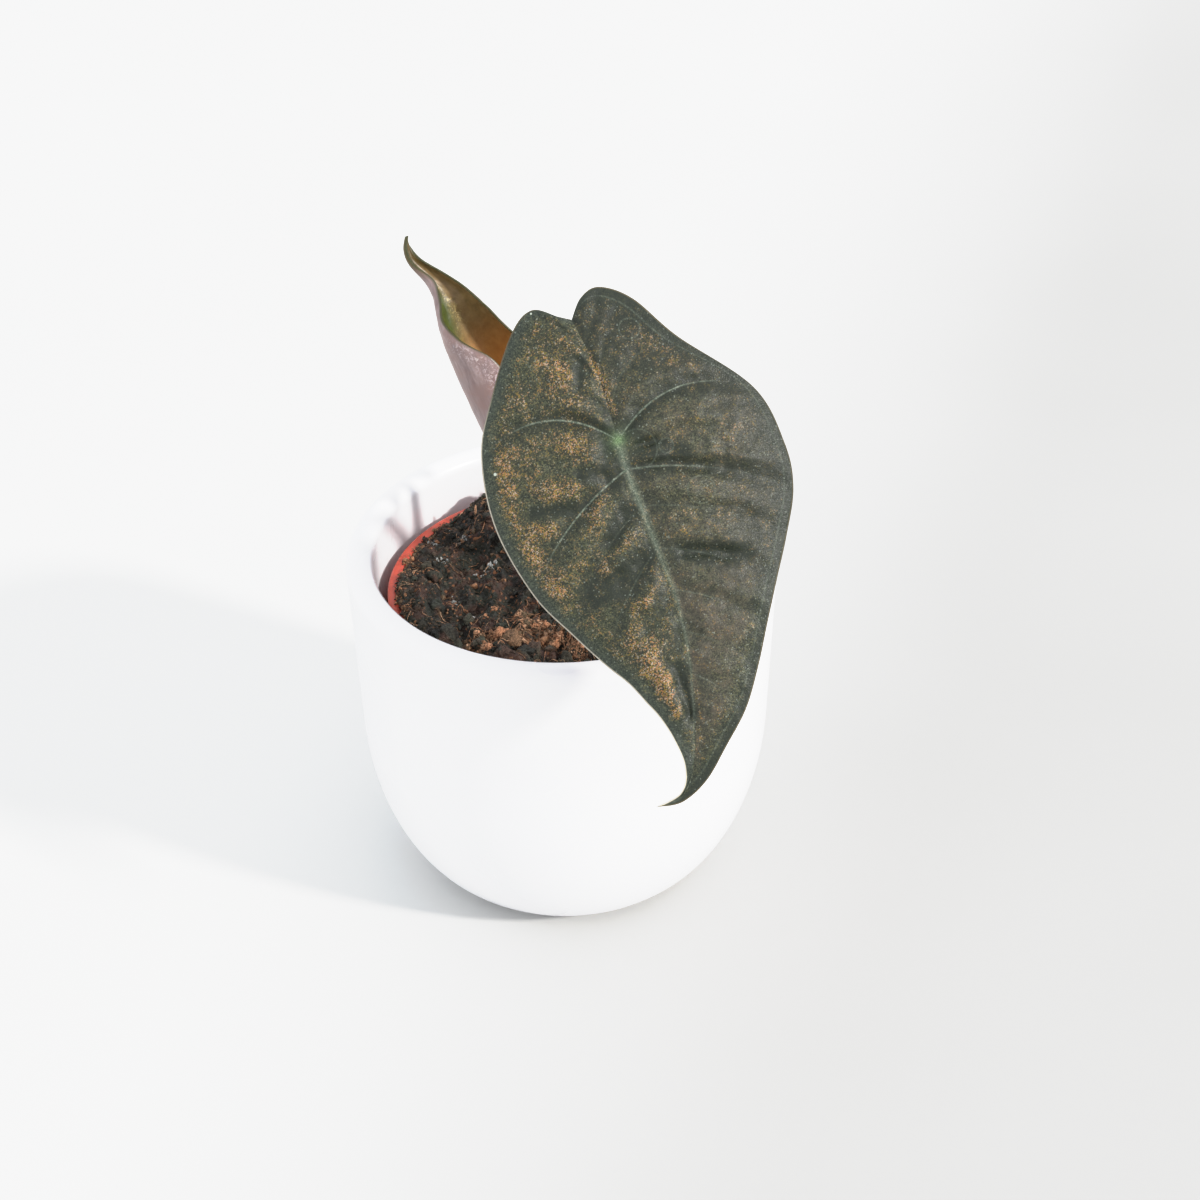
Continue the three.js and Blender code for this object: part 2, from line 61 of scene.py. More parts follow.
# Light: a low sun from the front right, and a pale sky
SUN_AZIMUTH = -27
SUN_ELEVATION = 28
SUN_STRENGTH = 2.8
SUN_SPREAD = 5
SUN_COLOUR = (1, 0.97, 0.93)
SKY_STRENGTH = 1.2
SKY_COLOUR = (0.94, 0.965, 1)
# Development: pairs of light in the scene and light in the picture, which hold the whites back
WHITE_LIGHT = 2
TONE_CURVE = ((0.2, 0.2), (0.4, 0.41), (0.6, 0.66), (0.77, 0.845), (0.9, 0.89), (1.05, 0.918), (1.3, 0.95))

# Cover pot
COVER_RADIUS = 37.5
COVER_HEIGHT = 66.9
COVER_WALL = 4.7
COVER_TAPER = math.radians(1.85)
COVER_BASE_RADIUS = 18
COVER_BLEND = 32.8
COVER_FLOOR = 5
COVER_FLOOR_RADIUS = 20.5
COVER_FLOOR_BLEND = 28
FOOT_RING = (13.2, 14)
FOOT_RECESS = 0.7

# Nursery pot
NURSERY_RIM_RADIUS = 30.7
NURSERY_TOP = 58.3
NURSERY_BASE_RADIUS = 19.5
NURSERY_COLLAR_RADIUS = 29
NURSERY_COLLAR_DROP = 8
NURSERY_COLLAR_STEP = 1
NURSERY_COLLAR_LEAN = 0.8
NURSERY_WALL = 1
NURSERY_FLOOR = 1.2
NURSERY_BEAD = 0.7
DRAIN_HOLE_RADIUS = 2.5
DRAIN_HOLE_CIRCLE = 12
DRAIN_HOLES = 6
# Points that a cut leaves nearer to each other than this become one
WELD = 0.001
NURSERY_FLOOR_TOP = COVER_FLOOR + NURSERY_FLOOR
COLLAR_FOOT = NURSERY_TOP - NURSERY_COLLAR_DROP
WALL_TOP = COLLAR_FOOT - NURSERY_COLLAR_STEP

# Soil
CLEARANCE = 0.3
SOIL_LEVEL = 56.4
SOIL_SEED = 4201
# Each draw is the one before times a factor, modulo a prime
LUMP_FACTOR = 16807
LUMP_MODULUS = 2147483647
LUMP_COUNT = 90
LUMP_WIDTHS = (1.8, 4.4)
LUMP_HEIGHTS = (-0.8, 1.5)
# The mound at the back, as in the solid: x, y, width and height
BACK_MOUND = (-9, 25.5, 13, 4)
# A heap of crumb against the rim, over the mound of the solid: x, y, width and height
BACK_HEAP = (-15, 26, 5, 1.6)
FLAT_ROUND_CORM = 7
CORM_BANK = 1.3

# Corm and stems
CORM_CENTRE = (0.3, 5.2)
CORM_RADIUS = 5
CORM_TOP = 58.2
CORM_DEPTH = 12
# Pairs of the part of the corm's radius and the height above its foot
CORM_OUTLINE = ((0.55, 0.6), (0.9, 3.4), (1, 7), (0.98, 11.1), (0.93, 12))
OPEN_STEM_FOOT = (2.2, 3.8)
NEW_STEM_FOOT = (-1.5, 6.5)

# Open leaf
OPEN_JOINT = np.array([9.6, -34.5, 109])
OPEN_SLOPE = math.radians(54.6)
OPEN_TURN = math.radians(13)
BLADE_THICKNESS = 0.75
MARGIN_THICKNESS = 0.4
VEIN_DEPTH = 0.5
VEIN_WIDTH = 0.2
QUILT_FADE_IN = 0.15
RIB_HEIGHT = 0.7
RIB_TAPER = 0.85
MIDRIB_HEIGHT = 1.2
MIDRIB_WIDTH = 1.4
MIDRIB_TO_TIP = 75
MIDRIB_TO_LOBES = 26
FOLD_HEIGHT = 0.9
FOLD_WIDTH = 3.5
DROOP_RIGHT = 0.0075
DROOP_LEFT = 0.0065
ARCH_TO_TIP = 0.0013
ARCH_TO_LOBES = 0.0035
MARGIN_WAVE = 0.3
FULL_HALF_WIDTH = 18
TIP_TUCK = 0.08
OPEN_STEM_TOP_RADIUS = 1.4
OPEN_STEM_FOOT_RADIUS = 2.2
OPEN_STEM_FLARE = 4
OPEN_STEM_RISE = 24
OPEN_STEM_REACH = 17

# The open leaf lies flat in these lists: point k of the axis and of both margins ends vein k
OPEN_AXIS = (
    (-2.5, 19.6), (-2.1, 18), (-1.2, 14), (-0.5, 9), (-0.1, 4), (0, 0), (0.1, -2.2), (0.2, -4.6),
    (1, -10.5), (1.9, -17.3), (2.8, -24), (3, -30.5), (2.5, -37), (1.3, -43.5), (-0.4, -50.5),
    (-3.4, -55.1), (-7.5, -55.8),
)
OPEN_RIGHT = (
    (-2.5, 19.6), (-0.3, 22.6), (2.8, 23.6), (7.3, 20.7), (12.6, 13.4), (22.2, 3.2), (24.8, -6.2),
    (24.5, -13.2), (21.7, -20.1), (18.7, -26), (15.6, -32.3), (12.7, -38.4), (9.4, -44.2),
    (5.2, -49), (0.9, -53.6), (-3.5, -56), (-7.5, -55.8),
)
OPEN_LEFT = (
    (-2.5, 19.6), (-4.4, 20.5), (-8.2, 22.5), (-12.1, 19.6), (-17.4, 10.6), (-20.9, 2.6), (-21.4, -8.5),
    (-18.2, -19.8), (-13.7, -27.3), (-10, -32.8), (-7.2, -36.4), (-5.3, -39.8), (-3.8, -42.6), (-2.5, -46.4),
    (-1.9, -50.8), (-3.3, -54.5), (-7.5, -55.8),
)
# For each vein: how far it bows to the lobes, how deep it is sunk, and how pale its line is
OPEN_BOW = (0, 0.1, 0.4, 1.4, 3, 4.2, 2.6, 1.7, 1.6, 1.1, 0.9, 0.7, 0.5, 0.3, 0.1, 0, 0)
OPEN_VEINS = (0, 0, 0.5, 0.5, 0.5, 1, 0, 1, 0.6, 0.7, 0.5, 0.4, 0.3, 0.2, 0, 0, 0)
PALE_RIGHT = (0, 0, 0, 0, 0.15, 0.7, 0, 0.5, 0.15, 0.2, 0.3, 0.2, 0.2, 0.1, 0, 0, 0)
PALE_LEFT = (0, 0, 0, 0, 0, 0.8, 0, 0.8, 0.1, 0.15, 0.1, 0, 0, 0, 0, 0, 0)
# How high the blade is quilted between the veins, right and left of the midrib
QUILT_RIGHT = (0.1, 0.1, 0.15, 0.2, 0.35, 0.55, 0.55, 0.5, 0.4, 0.3, 0.25, 0.2, 0.15, 0.1, 0.1, 0, 0)
QUILT_LEFT = (0.1, 0.1, 0.15, 0.2, 0.3, 0.3, 0.3, 0.3, 0.25, 0.2, 0.15, 0.15, 0.1, 0.1, 0.1, 0, 0)
# Swellings and hollows between the veins: the two ends of each, its width, and its height or depth
OPEN_SWELLS = (
    ((-7.2, 0.8), (-4.8, -0.6), 2, 0.55),
    ((-12.5, -5.2), (-9, -5.2), 1.6, 0.5),
    ((-4.4, -7), (-6.3, -11), 1.2, 0.4),
    ((-14.5, -9.8), (-12.8, -11), 1.5, 0.4),
    ((-0.9, -13.8), (-6.8, -18.3), 1.1, 0.5),
    ((0.8, -21.5), (-1.8, -25), 1.1, 0.3),
    ((-4.4, -30), (-2.1, -37.4), 1.4, 0.6),
    ((-2.1, -37.4), (-0.9, -42.9), 1.1, 0.4),
    ((-7.7, 10.4), (-4.8, 8), 1.6, 0.35),
    ((12, 0.5), (17, -2), 2.2, 0.35),
    ((5.2, -12.5), (13.2, -14.9), 0.9, 0.3),
    ((-2.3, 1), (-2, -2.2), 1.2, -0.45),
    ((-15, -8), (-9.5, -8.2), 1.2, -0.5),
    ((-6.5, -3.6), (-3.5, -4.6), 1.1, -0.4),
    ((-1.6, -11), (-4.5, -15), 1.4, -0.4),
    ((-1, -18.5), (-5, -21), 1.7, -0.55),
    ((-5, -21), (-9.5, -22.8), 1.5, -0.3),
    ((0.3, -36), (1, -43), 0.9, -0.6),
    ((-2.7, 13.1), (-4.1, 9.1), 0.9, -0.35),
    ((3.5, -1.8), (8.5, -3.8), 1.6, -0.5),
    ((5.8, -18.8), (15, -21), 1.2, -0.6),
)
OPEN_ROWS_PER_VEIN = 14
OPEN_COLUMNS = 150

# How far out the two faces of a blade reach, where its whole half is 1, before its rounded margin
FACE_REACH = 0.994
# Round patches on the open leaf: the centre of each, and its reach across and along. The first is painted
# shade over a hollow, and the glows are copper with painted sheen
PAINTED_SHADE_LEFT = ((-5, -21), (4.5, 2.6))
TIP_GLOW = ((-2.2, -36), (1.3, 6))
LEFT_LOBE_GLOW = ((-5.5, 11), (2.8, 5.5))
RIGHT_LOBE_GLOW = ((9, 13), (5, 2.5))
CREASED = ((10, -14), (8, 6))

# New leaf: the line from foot to tip, and rows across the blade as in the solid
NEW_TIP = np.array([-25, 17, 117.8])
VIEW_SLOPE = math.radians(35.4)
NEW_BLADE_THICKNESS = 0.65
NEW_MARGIN_THICKNESS = 0.4
NEW_KEEL_HEIGHT = 0.5
NEW_KEEL_WIDTH = 0.12
NEW_KEEL_TAPER = 0.6
NEW_STEM_TOP_RADIUS = 1.2
NEW_STEM_FOOT_RADIUS = 1.7
NEW_STEM_RISE = 0.3
NEW_STEM_REACH = 0.4
# Each row: way down from the tip, offset, radius of the roll, turn in degrees, far and near half
# width, and sweep towards the foot at the margins
NEW_ROWS = (
    (42.5, 0.2, 4.5, 36, 1, 1, 0),
    (41.6, 0.1, 5.2, 36, 7, 6.4, 3.4),
    (39.5, 0, 6, 36, 12, 11, 4.6),
    (35.5, -0.3, 6.4, 36, 16, 14.6, 3.2),
    (30, -0.4, 6.4, 36, 16.2, 15.4, 1),
    (23, -0.3, 5.8, 40, 14, 14, 0),
    (17.5, 0.6, 4.7, 53, 10.2, 9, 0),
    (14, 1.1, 3.7, 60, 7.4, 6, 0),
    (11, 0.8, 2.5, 45, 5.6, 4, 0),
    (8, 0, 1.6, 30, 3.9, 3.1, 0),
    (4.5, -1.2, 1, 30, 2, 1.6, 0),
    (2, -1.1, 0.9, 20, 1.2, 1, 0),
    (0, 0, 0.8, 0, 0.3, 0.3, 0),
)
NEW_ROWS_PER_STEP = 12
NEW_COLUMNS = 72

# How fine the other pieces are
COVER_SIDES = 192
NURSERY_SIDES = 144
HOLE_SIDES = 32
SOIL_SIDES = 288
SOIL_RINGS = 96
CORM_SIDES = 96
STEM_SIDES = 40
STEM_STEPS = 90


def smooth(value, low, high):
    """0 at low, 1 at high, and a smooth step between them."""
    part = np.clip((value - low) / (high - low), 0, 1)
    return part * part * (3 - 2 * part)


def bell(value, width):
    return np.exp(-((value / width) ** 2))


def patch(x, y, centre, reach):
    """1 at a centre, fading round it over its reach across and along."""
    return bell(np.hypot((x - centre[0]) / reach[0], (y - centre[1]) / reach[1]), 1)


def points_at(x, y, z=0):
    """Points from their coordinates."""
    return np.stack(np.broadcast_arrays(x, y, z), axis=-1)


def hashed(cell, seed):
    """A number from -1 to 1 for each whole-numbered cell, scattered by large odd factors."""
    x, y, z = np.moveaxis(cell, -1, 0)
    mixed = (x * 73856093) ^ (y * 19349663) ^ (z * 83492791) ^ (seed * 97531)
    mixed = ((mixed ^ (mixed >> 13)) * 1274126177) & 0xFFFFFFFF
    mixed = ((mixed ^ (mixed >> 15)) * 668265263) & 0xFFFFFFFF
    return ((mixed >> 8) & 0xFFFF) / 32767.5 - 1


def noise(points, size, seed=0):
    """Smooth noise from -1 to 1 in space, whose lumps are about size across."""
    scaled = points / size
    cell = np.floor(scaled).astype(np.int64)
    part = scaled - cell
    part = part * part * (3 - 2 * part)
    total = np.zeros(points.shape[:-1])
    for corner in itertools.product((0, 1), repeat=3):
        weight = np.prod(np.where(corner, part, 1 - part), axis=-1)
        total += weight * hashed(cell + np.array(corner), seed)
    return total


def along(points, place):
    """A smooth line through a list of points or numbers, at point k where place is k."""
    points = np.asarray(points, float)
    last = len(points) - 1
    k = np.clip(np.floor(place).astype(int), 0, last - 1)
    part = place - k
    before, start, end, after = (points[np.clip(k + step, 0, last)] for step in (-1, 0, 1, 2))
    if points.ndim > 1:
        part = part[..., None]
    slope_in = (end - before) / 2
    slope_out = (after - start) / 2
    cubic = 2 * start - 2 * end + slope_in + slope_out
    square = 3 * end - 3 * start - 2 * slope_in - slope_out
    return ((cubic * part + square) * part + slope_in) * part + start


def unit(vector):
    return vector / np.linalg.norm(vector, axis=-1, keepdims=True)


def colour(red, green, blue):
    """An sRGB colour as the linear colour that a shader takes."""
    parts = (red / 255, green / 255, blue / 255)
    return (*(p / 12.92 if p <= 0.04045 else ((p + 0.055) / 1.055) ** 2.4 for p in parts), 1)


# Meshes

def new_mesh(name, points, faces):
    """A mesh of points in millimetres."""
    mesh = bpy.data.meshes.new(name)
    mesh.from_pydata((np.asarray(points) * MM).tolist(), [], faces)
    return mesh


def add_object(name, data):
    made = bpy.data.objects.new(name, data)
    scene.collection.objects.link(made)
    return made


def add_piece(name, points, faces, surface, slot, node=None, **masks):
    """Makes a piece with its masks, which rides on the plant and may stand for a solid."""
    mesh = new_mesh(name, points, faces)
    mesh.polygons.foreach_set("use_smooth", [True] * len(mesh.polygons))
    mesh.materials.append(surface.material)
    mesh.update()
    piece = add_object(name, mesh)
    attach(piece, "root")
    if node:
        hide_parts(node)
    for mask, values in masks.items():
        paint(piece, mask, values)
    return piece


def skin(rings, first, last):
    """Points and faces of a closed surface through rings of points, with one point at each end."""
    count, size = rings.shape[:2]
    points = np.concatenate([rings.reshape(-1, 3), [first, last]])
    index = np.arange(count * size).reshape(count, size)
    side = np.roll(index, -1, axis=1)
    quads = np.stack([index[:-1], index[1:], side[1:], side[:-1]], axis=-1).reshape(-1, 4).tolist()
    start = [(count * size, int(a), int(b)) for a, b in zip(index[0], side[0])]
    end = [(int(a), count * size + 1, int(b)) for a, b in zip(index[-1], side[-1])]
    return points, quads + start + end


def paint(piece, name, mask):
    """Stores a number or a vector at each point for the material. Rings get their two ends' as well."""
    mask = np.asarray(mask, np.float32)
    kind, key = ("FLOAT_VECTOR", "vector") if mask.ndim == 3 else ("FLOAT", "value")
    if mask.ndim > 1:
        mask = np.concatenate([mask.reshape(-1, *mask.shape[2:]), [mask[0, 0], mask[-1, 0]]])
    layer = piece.data.attributes.new(name, kind, "POINT")
    layer.data.foreach_set(key, mask.ravel())


def joined(bodies):
    """Points and faces of several meshes as one."""
    starts = np.cumsum([0] + [len(points) for points, _ in bodies]).tolist()
    faces = [[corner + start for corner in face] for start, (_, own) in zip(starts, bodies) for face in own]
    return np.concatenate([points for points, _ in bodies]), faces


def around(sides):
    """Cosines and sines of even steps round a circle, clockwise from above."""
    angle = -2 * math.pi * np.arange(sides) / sides
    return np.cos(angle), np.sin(angle)


def turned(profile, sides, centre=(0, 0)):
    """Rings of a profile of (radius, height) pairs turned about an upright axis, and its two ends."""
    radius, height = np.array(profile[1:-1], float).T[..., None]
    cosine, sine = around(sides)
    rings = points_at(centre[0] + radius * cosine, centre[1] + radius * sine, height)
    return rings, (*centre, profile[0][1]), (*centre, profile[-1][1])


def tube(line, radius, sides):
    """Rings round a line of points, and its two ends. radius is one number for each point."""
    heading = unit(np.gradient(line, axis=0))
    normal = unit(np.cross(heading[0], (0.31, 0.87, 0.12)))
    cosine, sine = (part[:, None] for part in around(sides))
    rings = []
    for point, direction, size in zip(line, heading, radius):
        normal = unit(normal - direction * np.dot(normal, direction))
        other = np.cross(direction, normal)
        rings.append(point + size * (cosine * normal + sine * other))
    return np.array(rings), line[0], line[-1]


def bezier(points, steps):
    """Points on a cubic curve, evenly spaced along it."""
    a, b, c, d = (np.asarray(p, float) for p in points)
    t = np.linspace(0, 1, 400)[:, None]
    line = (1 - t) ** 3 * a + 3 * (1 - t) ** 2 * t * b + 3 * (1 - t) * t * t * c + t ** 3 * d
    length = np.append(0, np.cumsum(np.linalg.norm(np.diff(line, axis=0), axis=1)))
    even = np.linspace(0, length[-1], steps + 1)
    return np.stack([np.interp(even, length, line[:, axis]) for axis in range(3)], axis=-1)


# Materials

class Surface:
    """A material whose nodes are made by short calls. Its textures are sized in millimetres."""

    def __init__(self, name, **sockets):
        self.material = bpy.data.materials.new(name)
        self.material.use_nodes = True
        self.tree = self.material.node_tree
        self.shader = self.tree.nodes["Principled BSDF"]
        self.put(**sockets)

    def put(self, **sockets):
        """Sets sockets of the shader, with _ for each space in their names."""
        for name, value in sockets.items():
            self.join(self.shader.inputs[name.replace("_", " ")], value)

    def join(self, socket, value):
        if isinstance(value, bpy.types.NodeSocket):
            self.tree.links.new(value, socket)
        else:
            socket.default_value = value

    def node(self, kind, inputs, **settings):
        made = self.tree.nodes.new("ShaderNode" + kind)
        for name, value in settings.items():
            setattr(made, name, value)
        for socket, value in inputs.items():
            self.join(made.inputs[socket], value)
        return made

    def scaled(self, vector, size):
        return self.node("VectorMath", {0: vector, 1: size}, operation="MULTIPLY").outputs[0]

    def place(self, stretch=(1, 1, 1)):
        """The point in the frame in millimetres, stretched along its axes."""
        here = self.node("TexCoord", {}).outputs["Object"]
        return self.scaled(here, tuple(1 / MM / part for part in stretch))

    def away(self, vector, x, y):
        """How far a point of a flat leaf lies from a place on it."""
        return self.node("VectorMath", {0: vector, 1: (x, y, 0)}, operation="DISTANCE").outputs["Value"]

    def mask(self, name):
        return self.node("Attribute", {}, attribute_name=name).outputs["Fac"]

    def vector(self, name):
        return self.node("Attribute", {}, attribute_name=name).outputs["Vector"]

    def grain(self, vector, size, detail=2, roughness=0.5, distortion=0):
        inputs = {
            "Vector": vector, "Scale": 1 / size, "Detail": detail,
            "Roughness": roughness, "Distortion": distortion,
        }
        return self.node("TexNoise", inputs).outputs[0]

    def cells(self, vector, size):
        """Cells of about size across: their distance and their random colours."""
        made = self.node("TexVoronoi", {"Vector": vector, "Scale": 1 / size})
        return made.outputs["Distance"], made.outputs["Color"]

    def parts(self, value):
        """The three parts of a colour."""
        return self.node("SeparateColor", {0: value}).outputs

    def step(self, value, low, high, start=0.0, end=1.0):
        """A smooth step from start, at low, to end, at high."""
        inputs = {0: value, 1: low, 2: high, 3: start, 4: end}
        return self.node("MapRange", inputs, interpolation_type="SMOOTHSTEP").outputs[0]

    def math(self, operation, *values):
        """The result of an operation on the first value and each of the others in turn."""
        result = values[0]
        for value in values[1:]:
            result = self.node("Math", {0: result, 1: value}, operation=operation).outputs[0]
        return result

    def plus(self, *values):
        return self.math("ADD", *values)

    def times(self, *values):
        return self.math("MULTIPLY", *values)

    def apart(self, value, other):
        """The distance between two numbers."""
        return self.node("Math", {0: self.math("SUBTRACT", value, other)}, operation="ABSOLUTE").outputs[0]

    def mix(self, factor, start, end):
        """A mix of two colours, each a socket or an sRGB colour."""
        start, end = (colour(*shade) if isinstance(shade, tuple) else shade for shade in (start, end))
        return self.node("Mix", {0: factor, 6: start, 7: end}, data_type="RGBA").outputs[2]

    def ramp(self, value, stops):
        made = self.node("ValToRGB", {0: value})
        elements = made.color_ramp.elements
        while len(elements) < len(stops):
            elements.new(0.5)
        for element, (place, shade) in zip(elements, stops):
            element.position = place
            element.color = colour(*shade)
        return made.outputs[0]

    def bump(self, height, distance):
        """A bump whose height of 1 stands out by distance."""
        return self.node("Bump", {"Height": height, "Distance": distance * MM, "Strength": 1}).outputs[0]


def glaze_surface():
    """White glaze with faint waves and pinholes, and bare clay on the foot ring."""
    glaze = Surface("white_glaze", Roughness=0.2, Coat_Weight=0.2, Coat_Roughness=0.1)
    here = glaze.place()
    waves = glaze.grain(here, 14, detail=1)
    orange_peel = glaze.grain(here, 2.2)
    distance, shade = glaze.cells(here, 5.5)
    pinhole = glaze.step(distance, 0.03, 0.055, 1, 0)
    chosen = glaze.step(glaze.parts(shade)[0], 0.9, 0.92)
    bare = glaze.mask("bare")
    white = glaze.mix(waves, (240, 241, 245), (246, 246, 248))
    dusty = glaze.mix(glaze.times(pinhole, chosen, 0.35), white, (150, 146, 140))
    clay = glaze.mix(glaze.grain(here, 0.7), (214, 205, 190), (232, 225, 212))
    glaze.put(
        Base_Color=glaze.mix(bare, dusty, clay),
        Roughness=glaze.plus(glaze.step(waves, 0.3, 0.7, 0.24, 0.32), glaze.times(bare, 0.5)),
        Normal=glaze.bump(glaze.plus(waves, glaze.times(orange_peel, 0.06)), 0.12),
    )
    return glaze


def plastic_surface():
    """Thin orange-red plastic with a fine moulded grain and dusty smears of soil."""
    plastic = Surface(
        "nursery_plastic", Roughness=0.42,
        Subsurface_Weight=0.15, Subsurface_Radius=(1, 0.4, 0.25), Subsurface_Scale=0.8 * MM,
    )
    here = plastic.place()
    fine = plastic.grain(here, 0.25, detail=3)
    orange = plastic.mix(plastic.grain(here, 6, detail=3), (168, 62, 42), (198, 80, 56))
    dirt = plastic.step(plastic.grain(here, 2.4, detail=5, roughness=0.7), 0.58, 0.72)
    plastic.put(
        Base_Color=plastic.mix(plastic.times(dirt, 0.5), orange, (92, 52, 38)),
        Roughness=plastic.step(plastic.plus(fine, dirt), 0.2, 1.4, 0.35, 0.75),
        Normal=plastic.bump(fine, 0.02),
    )
    return plastic


def russet_patches(surface, here, most):
    """Patches of reddish earth in the soil, from 0 to a most."""
    return surface.step(surface.grain(here, 3.4), 0.5, 0.62, 0, most)


def soil_surface():
    """Near-black potting mix, browner on its lumps and greenish in patches."""
    soil = Surface("potting_mix", Roughness=0.9)
    here = soil.place()
    lumps = soil.grain(here, 2.5, detail=6, roughness=0.7)
    patches = soil.grain(here, 9, detail=3)
    crumbs, shade = soil.cells(here, 0.45)
    light, rough, _ = soil.parts(shade)
    brown = soil.ramp(lumps, [(0.3, (13, 12, 10)), (0.52, (36, 31, 25)), (0.75, (80, 66, 50))])
    mossy = soil.mix(soil.step(patches, 0.48, 0.6, 0, 0.75), brown, (40, 44, 35))
    earthy = soil.mix(russet_patches(soil, here, 0.6), mossy, (78, 50, 40))
    height = soil.plus(soil.times(crumbs, -0.5), soil.grain(here, 0.5, detail=5, roughness=0.7))
    soil.put(
        Base_Color=soil.mix(soil.step(light, 0.9, 0.95), earthy, (128, 86, 58)),
        Roughness=soil.step(rough, 0.1, 0.9, 0.45, 1),
        Normal=soil.bump(height, 0.35),
    )
    return soil


def crumb_surface():
    """Crumbs of peat and coir: each has its own shade, from black to orange-brown, and a few are white."""
    crumb = Surface("soil_crumbs", Roughness=0.85)
    here = crumb.place()
    fine = crumb.grain(here, 0.3, detail=4, roughness=0.75)
    tone = crumb.mask("tone")
    shade = crumb.ramp(tone, [
        (0, (12, 12, 13)), (0.3, (34, 33, 28)), (0.55, (74, 68, 54)), (0.72, (124, 100, 72)),
        (0.84, (202, 142, 102)), (0.93, (238, 194, 156)), (0.96, (150, 154, 152)), (1, (214, 214, 208)),
    ])
    dull = crumb.step(tone, 0.5, 0.7, 1, 0)
    moss = crumb.times(dull, crumb.step(crumb.grain(here, 7), 0.45, 0.6, 0.15, 0.75))
    mossy = crumb.mix(moss, shade, (64, 70, 56))
    earthy = crumb.mix(crumb.times(dull, russet_patches(crumb, here, 0.65)), mossy, (98, 66, 52))
    crumb.put(
        # Painted shade: near black in the low places that the bump sinks
        Base_Color=crumb.mix(crumb.step(fine, 0.38, 0.62, 0.75, 0), earthy, (9, 8, 7)),
        Roughness=crumb.step(fine, 0.3, 0.7, 0.95, 0.5),
        Normal=crumb.bump(fine, 0.2),
    )
    return crumb


def corm_surface():
    """Papery brown skin with rings, and a pinkish green crown."""
    corm = Surface("corm_skin", Roughness=0.7)
    rings = corm.grain(corm.place((8, 8, 0.5)), 1, detail=4)
    fibres = corm.grain(corm.place((0.5, 0.5, 6)), 1, detail=3)
    skin_shade = corm.ramp(rings, [(0.35, (52, 33, 22)), (0.55, (96, 64, 42)), (0.7, (140, 102, 70))])
    blotches = corm.grain(corm.place(), 1.2, detail=4, roughness=0.65)
    crown = corm.ramp(blotches, [(0.32, (58, 42, 28)), (0.5, (104, 78, 56)), (0.68, (122, 112, 74))])
    height = corm.plus(rings, corm.times(fibres, 0.4))
    corm.put(Base_Color=corm.mix(corm.mask("crown"), skin_shade, crown), Normal=corm.bump(height, 0.35))
    return corm


def stem_surface():
    """Pinkish brown stem that turns green upwards, with fine streaks and dark flecks along it."""
    stem = Surface(
        "stem", Roughness=0.38,
        Subsurface_Weight=0.12, Subsurface_Radius=(1, 0.5, 0.3), Subsurface_Scale=0.8 * MM,
    )
    flat = stem.vector("flat")
    streaks = stem.grain(stem.scaled(flat, (1, 0.08, 1)), 0.5, detail=3)
    flecks = stem.grain(stem.scaled(flat, (1, 0.35, 1)), 0.8)
    pink = stem.mix(streaks, (150, 98, 88), (176, 132, 108))
    green = stem.mix(streaks, (96, 92, 62), (130, 122, 84))
    body = stem.mix(stem.mask("rise"), pink, green)
    shade = stem.mix(stem.step(flecks, 0.55, 0.7, 0, 0.6), body, (78, 48, 46))
    stem.put(Base_Color=shade, Normal=stem.bump(streaks, 0.08))
    return stem


